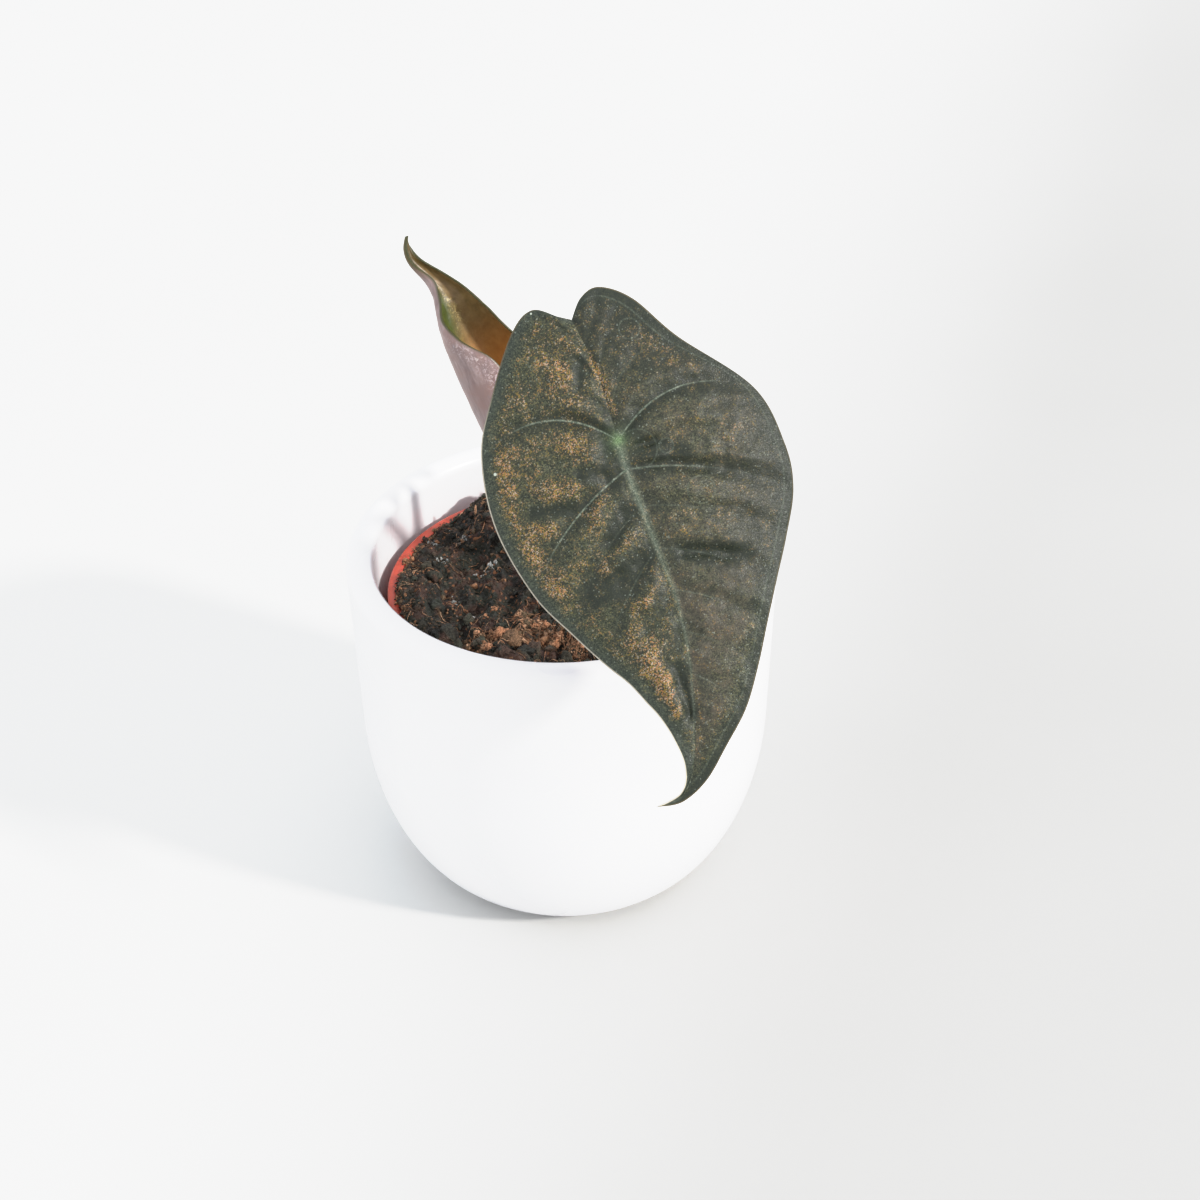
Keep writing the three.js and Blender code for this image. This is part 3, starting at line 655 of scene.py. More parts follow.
def open_leaf_surface():
    """Dark grey-green leaf: pale veins, coppery glitter with painted sheen on its swellings, painted shade in
    its hollows and valleys, a painted grey sheen, and a purple underside.
    """
    leaf = Surface("open_leaf", Roughness=0.45, Specular_IOR_Level=0.42)
    flat = leaf.vector("flat")
    from_vein, from_midrib, from_margin = leaf.parts(leaf.vector("near"))
    grit, grit_shade = leaf.cells(flat, 0.17)
    first, second, third = leaf.parts(grit_shade)
    cloud = leaf.grain(flat, 1.5, detail=5, roughness=0.65)
    wide = leaf.grain(flat, 6, detail=3)
    painted_shade = leaf.mask("painted_shade")

    # The green blade, with painted shade in its hollows and valleys, a painted grey sheen, and brown patches
    mottle = leaf.plus(leaf.times(cloud, 0.52), leaf.times(first, 0.48))
    green = leaf.ramp(mottle, [(0.28, (22, 29, 18)), (0.5, (50, 56, 38)), (0.76, (96, 99, 72))])
    shade = leaf.mix(painted_shade, green, leaf.mix(mottle, (15, 21, 14), (42, 50, 36)))
    spread = leaf.step(leaf.plus(wide, cloud), 0.75, 1.2, 0.3, 1)
    # Painted sheen: a grey glare over the blade, most on its right half
    sheen_cover = leaf.times(leaf.mask("grey_sheen"), spread)
    shade = leaf.mix(sheen_cover, shade, leaf.mix(mottle, (40, 36, 29), (102, 94, 79)))
    uneven = leaf.plus(leaf.times(cloud, 1.9), leaf.times(wide, 1.1))
    ragged = leaf.plus(leaf.mask("copper_sheen"), leaf.math("SUBTRACT", uneven, 1.5))
    patches = leaf.step(ragged, -0.1, 1.1)
    shade = leaf.mix(leaf.times(patches, 0.5), shade, leaf.mix(mottle, (44, 40, 24), (102, 92, 68)))

    # Coppery glitter in those patches, dull at their edges: the leaf's copper tint, with its bright grains
    # painted glints
    dull = leaf.ramp(second, [
        (0.1, (58, 62, 28)), (0.45, (98, 90, 36)), (0.75, (116, 90, 54)), (0.95, (118, 118, 96)),
    ])
    bright = leaf.ramp(second, [
        (0.05, (106, 102, 42)), (0.35, (148, 115, 52)), (0.6, (160, 110, 68)), (0.8, (162, 136, 112)),
        (0.97, (172, 156, 136)),
    ])
    shown = leaf.step(leaf.plus(leaf.times(patches, 0.6), first), 0.84, 1.2)
    shade = leaf.mix(shown, shade, leaf.mix(leaf.step(ragged, 0, 1), dull, bright))
    # More painted shade: the hollows, valleys and sunny side darker again
    shade = leaf.mix(leaf.times(painted_shade, 0.4), shade, leaf.mix(mottle, (19, 25, 17), (48, 54, 39)))

    # The band inside the margin, dark on the left and pale on the right
    wavy_margin = leaf.plus(from_margin, leaf.times(cloud, 3))
    right = leaf.mask("right")
    band = leaf.mix(leaf.times(first, cloud), (28, 35, 27), leaf.mix(right, (88, 97, 82), (56, 62, 44)))
    shade = leaf.mix(leaf.step(wavy_margin, 2, 4.4, 0.95, 0), shade, band)

    # Pale lines: the side veins, the midrib, the line along the right margin, and dried water marks
    broken = leaf.step(leaf.grain(flat, 0.9, detail=3, roughness=0.7), 0.36, 0.6, 0.3, 1)
    veins = leaf.times(leaf.mask("vein"), leaf.step(from_vein, 0.04, 0.22, 1, 0), broken)
    wide_rib, fine_rib = (leaf.step(from_midrib, *reach, 0.5, 0) for reach in ((0.4, 1.3), (0.05, 0.5)))
    midrib = leaf.times(leaf.mask("midrib"), leaf.plus(wide_rib, fine_rib))
    collecting = leaf.times(leaf.step(leaf.apart(from_margin, 1.5), 0.04, 0.22, 0.2, 0), right, broken)
    lines = leaf.math("MAXIMUM", veins, midrib, collecting)
    for x, y, radius in WATER_MARKS:
        to_ring = leaf.apart(leaf.away(flat, x, y), radius)
        lines = leaf.math("MAXIMUM", lines, leaf.step(to_ring, 0.03, 0.2, 0.16, 0))
    lines = leaf.times(lines, leaf.step(cloud, 0.3, 0.6, 0.6, 1))
    shade = leaf.mix(lines, shade, leaf.mix(first, (92, 108, 88), (150, 158, 142)))
    shade = leaf.mix(leaf.mask("joint"), shade, leaf.mix(first, (66, 92, 52), (126, 150, 106)))

    # Sparse pale dust, the white specks, the thin edge with a pale line on the left that is partly pale
    # tissue and partly painted highlight, and the purple underside
    shade = leaf.mix(leaf.step(third, 0.985, 0.99, 0, 0.3), shade, (160, 168, 156))
    for x, y, radius in WHITE_SPECKS:
        speck = leaf.step(leaf.away(flat, x, y), radius * 0.6, radius, 1, 0)
        shade = leaf.mix(speck, shade, (176, 182, 170))
    at_edge = leaf.step(from_margin, 0.08, 0.3, 1, 0)
    shade = leaf.mix(at_edge, shade, leaf.mix(cloud, (70, 64, 40), (112, 100, 72)))
    shade = leaf.mix(leaf.times(at_edge, leaf.mask("pale_edge_and_highlight")), shade, (214, 206, 188))
    under = leaf.ramp(mottle, [(0.3, (74, 34, 46)), (0.55, (104, 54, 62)), (0.75, (126, 78, 78))])
    under = leaf.mix(leaf.mask("rib"), under, (150, 116, 104))

    domes, _ = leaf.cells(flat, 1.1)
    folds = leaf.grain(leaf.scaled(flat, (0.3, 1, 1)), 0.9, detail=3, distortion=1.2)
    relief = leaf.plus(
        leaf.times(cloud, 0.9), leaf.times(grit, -0.25),
        leaf.plus(leaf.times(domes, -0.45), leaf.times(leaf.mask("creased"), folds, 1.6)),
    )
    leaf.put(
        Base_Color=leaf.mix(leaf.mask("under"), shade, under),
        Roughness=leaf.step(third, 0, 1, 0.38, 0.6),
        Normal=leaf.bump(relief, 0.14),
    )
    return leaf


def new_leaf_surface():
    """Glossy unrolling leaf: olive and orange inside, green at its near margin, mauve-pink outside, with
    painted glints near that margin.
    """
    leaf = Surface(
        "new_leaf", Roughness=0.3,
        Subsurface_Weight=0.1, Subsurface_Radius=(1, 0.5, 0.2), Subsurface_Scale=0.7 * MM,
    )
    flat = leaf.vector("flat")
    cloud = leaf.grain(flat, 1.6, detail=4, roughness=0.6)
    streaks = leaf.grain(leaf.scaled(flat, (1, 0.2, 1)), 0.9, detail=4, roughness=0.7)
    glints = leaf.step(leaf.grain(flat, 0.7, detail=3, roughness=0.7, distortion=1.5), 0.5, 0.62)
    # Painted glints: pale yellow specks inside, and whitish streaks outside
    crumpled = leaf.times(glints, leaf.mask("crumpled"), 0.6)
    olive = leaf.mix(cloud, (84, 66, 36), (172, 142, 98))
    orange = leaf.mix(cloud, (164, 114, 60), (206, 156, 92))
    inner = leaf.mix(leaf.mask("warm"), olive, orange)
    inner = leaf.mix(leaf.mask("green"), inner, leaf.mix(cloud, (44, 56, 20), (96, 104, 46)))
    inner = leaf.mix(crumpled, inner, (204, 184, 122))
    outer = leaf.ramp(streaks, [(0.3, (126, 106, 105)), (0.55, (153, 133, 131)), (0.74, (182, 164, 161))])
    outer = leaf.mix(leaf.step(leaf.grain(flat, 5), 0.4, 0.65, 0, 0.8), outer, (146, 118, 112))
    outer = leaf.mix(crumpled, outer, (214, 204, 204))
    body = leaf.mix(leaf.mask("under"), inner, outer)
    tipped = leaf.mix(leaf.mask("tip"), body, leaf.mix(cloud, (66, 52, 18), (106, 86, 36)))
    leaf.put(
        Base_Color=leaf.mix(leaf.mask("edge"), tipped, (66, 66, 30)),
        Roughness=leaf.step(streaks, 0.3, 0.7, 0.28, 0.5),
        Normal=leaf.bump(leaf.plus(cloud, leaf.times(streaks, 0.3)), 0.1),
    )
    return leaf


def floor_surface():
    """Pale matte table with faint wide clouds, and painted light and shade: lighter on the left, where the
    pot's shadow falls, and darker to the right.
    """
    floor = Surface("pale_floor", Roughness=0.75)
    here = floor.place()
    cloud = floor.grain(here, 130)
    x, y, _ = floor.parts(here)
    # Painted light and shade: lighter to the left, darker to the right
    side = floor.step(floor.math("SUBTRACT", x, floor.times(y, 0.35)), -70, 70)
    left = floor.mix(cloud, (216, 216, 214), (224, 224, 222))
    right = floor.mix(cloud, (175, 174, 172), (185, 184, 182))
    floor.put(Base_Color=floor.mix(side, left, right))
    return floor


# Pots

def cup_profile(floor, floor_radius, blend, wall_at, steps):
    """A flat floor's edge that blends into a wall."""
    inset = wall_at(floor) - floor_radius
    angles = [math.pi / 2 * step / steps for step in range(steps + 1)]
    heights = [floor + blend * (1 - math.cos(angle)) for angle in angles]
    return [(wall_at(z) - inset * (1 - math.sin(a)), z) for a, z in zip(angles, heights)]


def round_edge(radius, top, size, angles):
    """Part of a circle whose radius is size, which reaches out to a radius and up to a top."""
    return [(radius - size + size * math.cos(a), top - size + size * math.sin(a)) for a in angles]


def cover_wall_at(height):
    return COVER_RADIUS - math.tan(COVER_TAPER) * (COVER_HEIGHT - COVER_WALL / 2 - height)


def inner_wall_at(height):
    return cover_wall_at(height) - COVER_WALL


def make_cover_pot():
    ring_in, ring_out = FOOT_RING
    foot = [
        (0, FOOT_RECESS), (ring_in / 2, FOOT_RECESS), (ring_in - 0.4, FOOT_RECESS),
        (ring_in, FOOT_RECESS - 0.2), (ring_out - 0.1, 0.1), (ring_out + 0.2, 0), (16, 0),
    ]
    lip_foot = COVER_HEIGHT - COVER_WALL / 2
    outside = cup_profile(0, COVER_BASE_RADIUS, COVER_BLEND, cover_wall_at, 48)
    wall = [(cover_wall_at(z), z) for z in np.linspace(COVER_BLEND, lip_foot, 12)[1:]]
    lip_angles = [math.pi * step / 20 for step in range(1, 20)]
    lip = round_edge(COVER_RADIUS, COVER_HEIGHT, COVER_WALL / 2, lip_angles)
    in_wall = [(inner_wall_at(z), z) for z in np.linspace(lip_foot, COVER_FLOOR + COVER_FLOOR_BLEND, 12)[:-1]]
    inside = cup_profile(COVER_FLOOR, COVER_FLOOR_RADIUS, COVER_FLOOR_BLEND, inner_wall_at, 32)
    profile = foot + outside + wall + lip + in_wall + inside[::-1] + [(0, COVER_FLOOR)]
    shape = turned(profile, COVER_SIDES)
    x, y, z = np.moveaxis(shape[0], -1, 0)
    radius = np.hypot(x, y)
    bare = smooth(radius, ring_out - 0.3, ring_out) * (z < 0.1)
    bare = bare * (1 - smooth(radius, COVER_BASE_RADIUS + 0.2, COVER_BASE_RADIUS + 0.9))
    add_piece("cover_pot_glazed", *skin(*shape), glaze_surface(), "glaze", "cover_pot", bare=bare)


def make_nursery_pot():
    wall_radius = NURSERY_COLLAR_RADIUS - NURSERY_COLLAR_STEP
    rim = NURSERY_COLLAR_RADIUS + NURSERY_COLLAR_LEAN
    base = [(0, COVER_FLOOR), (8, COVER_FLOOR), (NURSERY_BASE_RADIUS - NURSERY_BEAD, COVER_FLOOR)]
    walls = [
        (NURSERY_BASE_RADIUS, COVER_FLOOR + NURSERY_BEAD),
        (wall_radius, WALL_TOP),
        (NURSERY_COLLAR_RADIUS, COLLAR_FOOT),
        (rim, NURSERY_TOP - 2 * NURSERY_BEAD),
        (NURSERY_RIM_RADIUS - 0.1, NURSERY_TOP - 1.5 * NURSERY_BEAD),
    ]
    outside = []
    for (r0, z0), (r1, z1) in zip(walls, walls[1:]):
        outside += [(r0 + (r1 - r0) * part, z0 + (z1 - z0) * part) for part in (0.02, 0.5, 0.98)]
    bead = round_edge(NURSERY_RIM_RADIUS, NURSERY_TOP, NURSERY_BEAD / 2, np.linspace(0, math.pi / 2, 6))
    inside = [
        (rim - NURSERY_WALL + 0.15, NURSERY_TOP),
        (rim - NURSERY_WALL, NURSERY_TOP - 0.15),
        (NURSERY_COLLAR_RADIUS - NURSERY_WALL, COLLAR_FOOT + NURSERY_WALL / 2),
        (wall_radius - NURSERY_WALL, WALL_TOP + NURSERY_WALL / 2),
        (NURSERY_BASE_RADIUS - NURSERY_WALL, NURSERY_FLOOR_TOP + 0.3),
        (NURSERY_BASE_RADIUS - NURSERY_WALL - 0.3, NURSERY_FLOOR_TOP),
        (8, NURSERY_FLOOR_TOP),
        (0, NURSERY_FLOOR_TOP),
    ]
    body = skin(*turned(base + outside + bead + inside, NURSERY_SIDES))
    pot = add_piece("nursery_pot_moulded", *body, plastic_surface(), "nursery_plastic", "nursery_pot")
    low, high = COVER_FLOOR - 1, NURSERY_FLOOR_TOP + 1
    outline = [(0, low), (DRAIN_HOLE_RADIUS, low), (DRAIN_HOLE_RADIUS, high), (0, high)]
    cutters = []
    for hole in range(DRAIN_HOLES + 1):
        circle = DRAIN_HOLE_CIRCLE if hole < DRAIN_HOLES else 0
        angle = 2 * math.pi * hole / DRAIN_HOLES
        centre = (circle * math.cos(angle), circle * math.sin(angle))
        cutters.append(skin(*turned(outline, HOLE_SIDES, centre)))
    cut_holes(pot, cutters)


def cut_holes(piece, cutters):
    """Cuts closed meshes out of a piece, and welds what the cut leaves in nearly one place."""
    cutter = add_object("cutter", new_mesh("cutter", *joined(cutters)))
    cut = piece.modifiers.new("holes", "BOOLEAN")
    cut.object = cutter
    cut.solver = "EXACT"
    bpy.context.view_layer.update()
    ready = piece.evaluated_get(bpy.context.evaluated_depsgraph_get())
    result = bpy.data.meshes.new_from_object(ready)
    welded = bmesh.new()
    welded.from_mesh(result)
    bmesh.ops.remove_doubles(welded, verts=welded.verts, dist=WELD * MM)
    bmesh.ops.dissolve_degenerate(welded, edges=welded.edges, dist=WELD * MM)
    welded.to_mesh(result)
    welded.free()
    piece.modifiers.clear()
    piece.data = result
    bpy.data.objects.remove(cutter)


# Soil

def lump_list():
    """Low round bumps and dips of the soil: x, y, width and height of each, as in the solid."""
    state = SOIL_SEED
    lumps = []
    for _ in range(LUMP_COUNT):
        draws = []
        for _ in range(4):
            state = state * LUMP_FACTOR % LUMP_MODULUS
            draws.append(state / LUMP_MODULUS)
        radius = NURSERY_COLLAR_RADIUS * math.sqrt(draws[0])
        angle = 2 * math.pi * draws[1]
        width = LUMP_WIDTHS[0] + (LUMP_WIDTHS[1] - LUMP_WIDTHS[0]) * draws[2]
        height = LUMP_HEIGHTS[0] + (LUMP_HEIGHTS[1] - LUMP_HEIGHTS[0]) * draws[3]
        lumps.append((radius * math.cos(angle), radius * math.sin(angle), width, height))
    return lumps + [BACK_MOUND]


LUMPS = lump_list()


def from_corm(x, y):
    """How far a place lies from the corm's axis."""
    return np.hypot(x - CORM_CENTRE[0], y - CORM_CENTRE[1])


def soil_height(x, y):
    """The soil's top: its lumps, with clods and crumbs over them."""
    rise = sum(h * np.exp(-((x - cx) ** 2 + (y - cy) ** 2) / w ** 2) for cx, cy, w, h in LUMPS)
    to_corm = from_corm(x, y)
    open_soil = 1 - np.exp(-((to_corm / FLAT_ROUND_CORM) ** 4))
    here = points_at(x, y)
    folds = 1 - 2 * np.abs(noise(here, 2.9, 1))
    clods = 1.15 * noise(here, 5.2, 5) + 0.9 * folds + 0.65 * noise(here, 1.5, 2)
    crumbs = 0.3 * noise(here, 0.8, 3) + 0.18 * noise(here, 0.42, 4)
    heap_x, heap_y, width, height = BACK_HEAP
    level = SOIL_LEVEL + rise * open_soil + height * bell(np.hypot(x - heap_x, y - heap_y), width)
    from_rim = smooth(np.hypot(x, y), 21, 27.5)
    banked = np.maximum(0, NURSERY_TOP - level) * from_rim + CORM_BANK * bell(to_corm - CORM_RADIUS, 2)
    return level + clods * (0.25 + 0.75 * open_soil) * (1 - 0.5 * from_rim) + crumbs + banked


def make_soil():
    gap = NURSERY_WALL + CLEARANCE
    lean = NURSERY_COLLAR_LEAN * (SOIL_LEVEL - COLLAR_FOOT) / NURSERY_COLLAR_DROP
    bottom = [
        (0, NURSERY_FLOOR_TOP), (NURSERY_BASE_RADIUS - gap, NURSERY_FLOOR_TOP),
        (NURSERY_COLLAR_RADIUS - NURSERY_COLLAR_STEP - gap, WALL_TOP + CLEARANCE),
        (NURSERY_COLLAR_RADIUS - gap, COLLAR_FOOT + CLEARANCE), (0, 0),
    ]
    rings, first, _ = turned(bottom, SOIL_SIDES)
    circle = np.stack(around(SOIL_SIDES), axis=-1)
    rim = (NURSERY_COLLAR_RADIUS + lean - gap) * circle
    hole = np.array(CORM_CENTRE) + (CORM_RADIUS + CLEARANCE) * circle
    x, y = np.moveaxis(hole + (rim - hole) * np.linspace(1, 0, SOIL_RINGS)[:, None, None], -1, 0)
    pit_depth = CORM_TOP - CORM_DEPTH - CLEARANCE
    pit = points_at(*hole.T, pit_depth)[None]
    rings = np.concatenate([rings, points_at(x, y, soil_height(x, y)), pit])
    last = (*CORM_CENTRE, pit_depth)
    add_piece("soil_mix", *skin(rings, first, last), soil_surface(), "soil", "soil")


def ball(detail):
    """Points and triangles of a ball of radius 1, split from 20 faces."""
    golden = (1 + math.sqrt(5)) / 2
    points = []
    for a, b in itertools.product((-1, 1), (-golden, golden)):
        points += [(a, b, 0), (0, a, b), (b, 0, a)]
    points = unit(np.array(points, float))
    near = np.min([np.linalg.norm(points[0] - p) for p in points[1:]]) * 1.01
    faces = []
    for a, b, c in itertools.combinations(range(12), 3):
        pairs = ((a, b), (b, c), (c, a))
        if all(np.linalg.norm(points[i] - points[j]) < near for i, j in pairs):
            outward = np.dot(np.cross(points[b] - points[a], points[c] - points[a]), points[a]) > 0
            faces.append((a, b, c) if outward else (a, c, b))
    points = list(points)
    for _ in range(detail):
        middles, finer = {}, []
        for face in faces:
            corners = []
            for i, j in zip(face, face[1:] + face[:1]):
                key = (min(i, j), max(i, j))
                if key not in middles:
                    middles[key] = len(points)
                    points.append(unit(points[i] + points[j]))
                corners.append(middles[key])
            a, b, c = face
            d, e, f = corners
            finer += [(a, d, f), (b, e, d), (c, f, e), (d, e, f)]
        faces = finer
    return np.array(points), faces


# Where orange-brown coir lies thick: x, y and radius
COIR = (
    (-6.7, -8.2, 1.6), (-8.3, -14.1, 1.5), (-11, -13.4, 1.2), (-2.4, -15.3, 2.2), (0.6, -14.2, 2),
    (3, -17.7, 2.6), (-4, -10.5, 1.8), (-14, -15, 2),
)
# Where white flecks lie and how far they spread, their number, how much larger than other grit
# they are, and their tones
FLECKS = (
    (-14.4, 5.3), (-12.6, 7.1), (-16, -8.6), (-21.5, 8.5), (-9.5, -6.4), (-19, -1.5), (-18, 13.6),
    (-23.4, 13.7),
)
FLECK_SPREAD = (0.7, 0.5)
FLECK_COUNT = 112
FLECK_GROWTH = 1.7
FLECK_TONES = (0.95, 1)
# The share of the other grit that is as white
WHITE_GRIT = 0.025
COIR_TONES = (0.68, 0.93)
SPLINTER_FOOT = (-16, 18.6)
SPLINTER_SPAN = (0.3, -0.4, 3.2)
SPLINTER_RADIUS = 0.26
SPLINTER_TONE = 0.88
# Crumbs by size: number, times each ball is split, smallest and largest radius, share of coir, and
# the lightest tone of the others
CRUMB_SIZES = {
    "soil_clods": (190, 2, (0.6, 1.5), 0.05, 0.55),
    "soil_crumbs": (2300, 1, (0.18, 0.66), 0.28, 0.82),
    "soil_grit": (9000, 0, (0.07, 0.28), 0.28, 0.82),
}
# Fibres: their number and seed, how far out they reach, the share that is coir, and the share of
# the others that is as light
FIBRES = 2300
FIBRE_SEED = 77
FIBRE_REACH = 29.4
FIBRE_COIR = 0.25
LIGHT_FIBRES = 0.22
FIBRE_POINTS = 7
FIBRE_SIDES = 5
# How far from the pot's axis the soil's own edge lies, and the last crumbs on the rim
SOIL_EDGE = 28.3
CRUMB_REACH = 29.7
# The share of crumbs within the soil's edge, how far out the rim is near, and the largest crumb there
WITHIN_EDGE = 0.66
NEAR_RIM = 27
RIM_CRUMB = 0.45


def soil_place(draw, coir_share, margin):
    """A random place on the soil for a crumb or a fibre, and whether it is coir."""
    while True:
        coir = draw.random() < coir_share
        if coir:
            x, y, size = draw.choice(COIR)
            x, y = draw.gauss(x, size * 0.55), draw.gauss(y, size * 0.55)
        else:
            radius = SOIL_EDGE * math.sqrt(draw.random())
            if draw.random() > WITHIN_EDGE:
                radius = SOIL_EDGE + abs(draw.gauss(0, 0.6))
            angle = draw.uniform(0, 2 * math.pi)
            x, y = radius * math.cos(angle), radius * math.sin(angle)
        if from_corm(x, y) > CORM_RADIUS + margin and math.hypot(x, y) < CRUMB_REACH:
            return x, y, coir


def ground_at(x, y):
    """The height that a crumb lies at: the soil, which slopes down to the nursery pot's rim."""
    over_rim = np.clip((np.hypot(x, y) - SOIL_EDGE) / (CRUMB_REACH - SOIL_EDGE), 0, 1)
    return soil_height(x, y) * (1 - over_rim) + (NURSERY_TOP - 0.1) * over_rim


def add_loose(name, bodies, tones, surface):
    """Adds many small bodies as one piece of the soil, each with its own tone."""
    sizes = [len(points) for points, _ in bodies]
    add_piece(name, *joined(bodies), surface, "soil", tone=np.repeat(tones, sizes))


def make_crumbs(name, surface, seed):
    """Many small rough balls half sunk in the soil's top."""
    count, detail, (smallest, largest), coir_share, lightest = CRUMB_SIZES[name]
    draw = random.Random(seed)
    ball_points, ball_faces = ball(detail)
    is_grit = detail == 0
    flecks = FLECK_COUNT if is_grit else 0
    places = [soil_place(draw, coir_share, largest * 0.8) for _ in range(count)]
    for k in range(flecks):
        x, y = FLECKS[k % len(FLECKS)]
        places[k] = (draw.gauss(x, FLECK_SPREAD[0]), draw.gauss(y, FLECK_SPREAD[1]), False)
    x, y = np.array([place[:2] for place in places]).T
    ground = ground_at(x, y)
    browns = 0.3 * noise(points_at(x, y), 4, 61)
    bodies, tones = [], []
    for k, (px, py, coir) in enumerate(places):
        size = smallest + (largest - smallest) * draw.random() ** 2.5
        if math.hypot(px, py) > NEAR_RIM:
            size = min(size, RIM_CRUMB)
        if k < flecks:
            size *= FLECK_GROWTH
        stretch = np.array([draw.uniform(0.6, 1.3), draw.uniform(0.6, 1.3), draw.uniform(0.5, 1)])
        axis = Vector((draw.uniform(-1, 1), draw.uniform(-1, 1), draw.uniform(-1, 1) + 0.01))
        turn = np.array(Matrix.Rotation(draw.uniform(0, 2 * math.pi), 3, axis))
        rough = 1 + 0.55 * noise(ball_points + k * 7.3, 0.8, 11)
        rough = rough + 0.35 * noise(ball_points + k * 3.1, 0.35, 12)
        body = ball_points * rough[:, None] * stretch * size @ turn.T
        bodies.append((body + (px, py, ground[k] + size * draw.uniform(-0.1, 0.3)), ball_faces))
        earth = 0.2 + 0.62 * draw.random() ** 1.6 + browns[k]
        tone = draw.uniform(*COIR_TONES) if coir else min(max(earth, 0), lightest)
        if is_grit and (k < flecks or draw.random() < WHITE_GRIT):
            tone = draw.uniform(*FLECK_TONES)
        tones.append(tone)
    add_loose(name, bodies, tones, surface)


def fibre_line(draw):
    """A bent line lying on the soil."""
    x, y, coir = soil_place(draw, FIBRE_COIR, 1)
    heading, bend = draw.uniform(0, 2 * math.pi), draw.uniform(-0.6, 0.6)
    step, lift = draw.uniform(0.12, 0.6), draw.uniform(0.1, 0.9) * draw.random()
    line = []
    for k in range(FIBRE_POINTS):
        line.append((x, y, lift * math.sin(math.pi * k / (FIBRE_POINTS - 1))))
        heading += bend * draw.uniform(0.4, 1.6)
        x, y = x + step * math.cos(heading), y + step * math.sin(heading)
    return np.array(line), coir


def make_fibres(surface):
    """Fine bent fibres of peat and coir on the soil, and one upright splinter."""
    draw = random.Random(FIBRE_SEED)
    strands = []
    while len(strands) < FIBRES:
        line, coir = fibre_line(draw)
        x, y, _ = line.T
        if from_corm(x, y).min() > CORM_RADIUS + 0.5 and np.hypot(x, y).max() < FIBRE_REACH:
            radius = draw.uniform(0.03, 0.08)
            line[:, 2] += ground_at(x, y) + radius + 0.1
            light = coir or draw.random() < LIGHT_FIBRES
            tone = draw.uniform(0.66, 0.93) if light else draw.uniform(0.3, 0.72)
            strands.append((line, radius, tone))
    x, y = np.array([SPLINTER_FOOT]).T
    foot = np.array([*SPLINTER_FOOT, ground_at(x, y)[0] - 0.5])
    splinter = foot + np.linspace(0, 1, FIBRE_POINTS)[:, None] * SPLINTER_SPAN
    strands.append((splinter, SPLINTER_RADIUS, SPLINTER_TONE))
    taper = np.sin(np.linspace(0.25, math.pi - 0.15, FIBRE_POINTS)) ** 0.5
    bodies = [skin(*tube(line, radius * taper, FIBRE_SIDES)) for line, radius, _ in strands]
    add_loose("soil_fibres", bodies, [tone for *_, tone in strands], surface)


# Corm and stems

def make_corm():
    foot = CORM_TOP - CORM_DEPTH
    heights = np.array([0] + [height for _, height in CORM_OUTLINE])
    radii = np.array([0.3] + [part for part, _ in CORM_OUTLINE]) * CORM_RADIUS
    fine = np.linspace(0, CORM_DEPTH - 0.4, 60)
    wall = [(float(np.interp(h, heights, radii)), foot + h) for h in fine]
    dome = [(CORM_RADIUS * 0.92 * part, CORM_TOP - 0.4 * part ** 3) for part in np.linspace(1, 0.05, 14)]
    rings, first, last = turned([(0, foot)] + wall + dome + [(0, CORM_TOP)], CORM_SIDES, CORM_CENTRE)
    centre = np.array([*CORM_CENTRE, 0])
    ridges = 0.97 + 0.03 * np.sin(rings[..., 2] * 5 + 1.5 * noise(rings, 3, 21))
    below = rings[..., 2] < CORM_TOP - 0.6
    scale = np.where(below, ridges, 1)[..., None] * (1, 1, 0) + (0, 0, 1)
    crown = smooth(rings[..., 2], CORM_TOP - 1.2, CORM_TOP - 0.3)
    rings = centre + (rings - centre) * scale
    rings[..., 2] += crown * (0.28 * noise(rings, 1.6, 22) + 0.14 * noise(rings, 0.7, 23) - 0.25)
    add_piece("corm_skinned", *skin(rings, first, last), corm_surface(), "corm", "corm", crown=crown)


def make_stem(name, node, controls, radius_at):
    """A round stem along a cubic curve, with a shallow groove that fades towards both ends."""
    line = bezier(controls, STEM_STEPS)
    part = np.linspace(0, 1, STEM_STEPS + 1)
    radius = radius_at(part)
    rings, first, last = tube(line, radius, STEM_SIDES)
    angle = np.arange(STEM_SIDES) / STEM_SIDES * 2 * math.pi
    groove = 1 - 0.07 * np.exp(-((np.abs(angle - math.pi) / 0.5) ** 2)) * np.sin(math.pi * part)[:, None]
    rings = line[:, None] + (rings - line[:, None]) * groove[..., None]
    length = np.linalg.norm(np.diff(line, axis=0), axis=1).sum()
    rise = np.broadcast_to(smooth(part, 0.1, 0.75)[:, None], rings.shape[:2])
    flat = points_at(angle * radius.mean(), (part * length)[:, None])
    add_piece(name, *skin(rings, first, last), stem_surface(), "stem", node, flat=flat, rise=rise)


# Blades

def on_axis(point_at, place):
    """The point in the middle of a blade's thickness, on its axis."""
    return point_at(np.array([[place]]), np.array([[0.0]]), np.array([[0.5]]))[0, 0]


def blade_rings(steps, finer, columns, point_at, start=-1):
    """Rings round a thin blade with rounded margins, and its two ends, with finer rows in each step.

    Each ring runs over the upper face from the start's margin to the other, and back below. Returns the
    shape, and place, side and face at each point; face is 0 above, 1 below, 0.5 at the margin.
    """
    rows = np.linspace(0, steps, steps * finer + 1)
    over = np.linspace(start, -start, columns + 1)
    side = np.concatenate([over * FACE_REACH, [-start], over[::-1] * FACE_REACH, [start]])
    face = np.concatenate([np.zeros(columns + 1), [0.5], np.ones(columns + 1), [0.5]])
    grid = np.broadcast_arrays(rows[1:-1, None], side, face)
    return (point_at(*grid), on_axis(point_at, rows[0]), on_axis(point_at, rows[-1])), grid


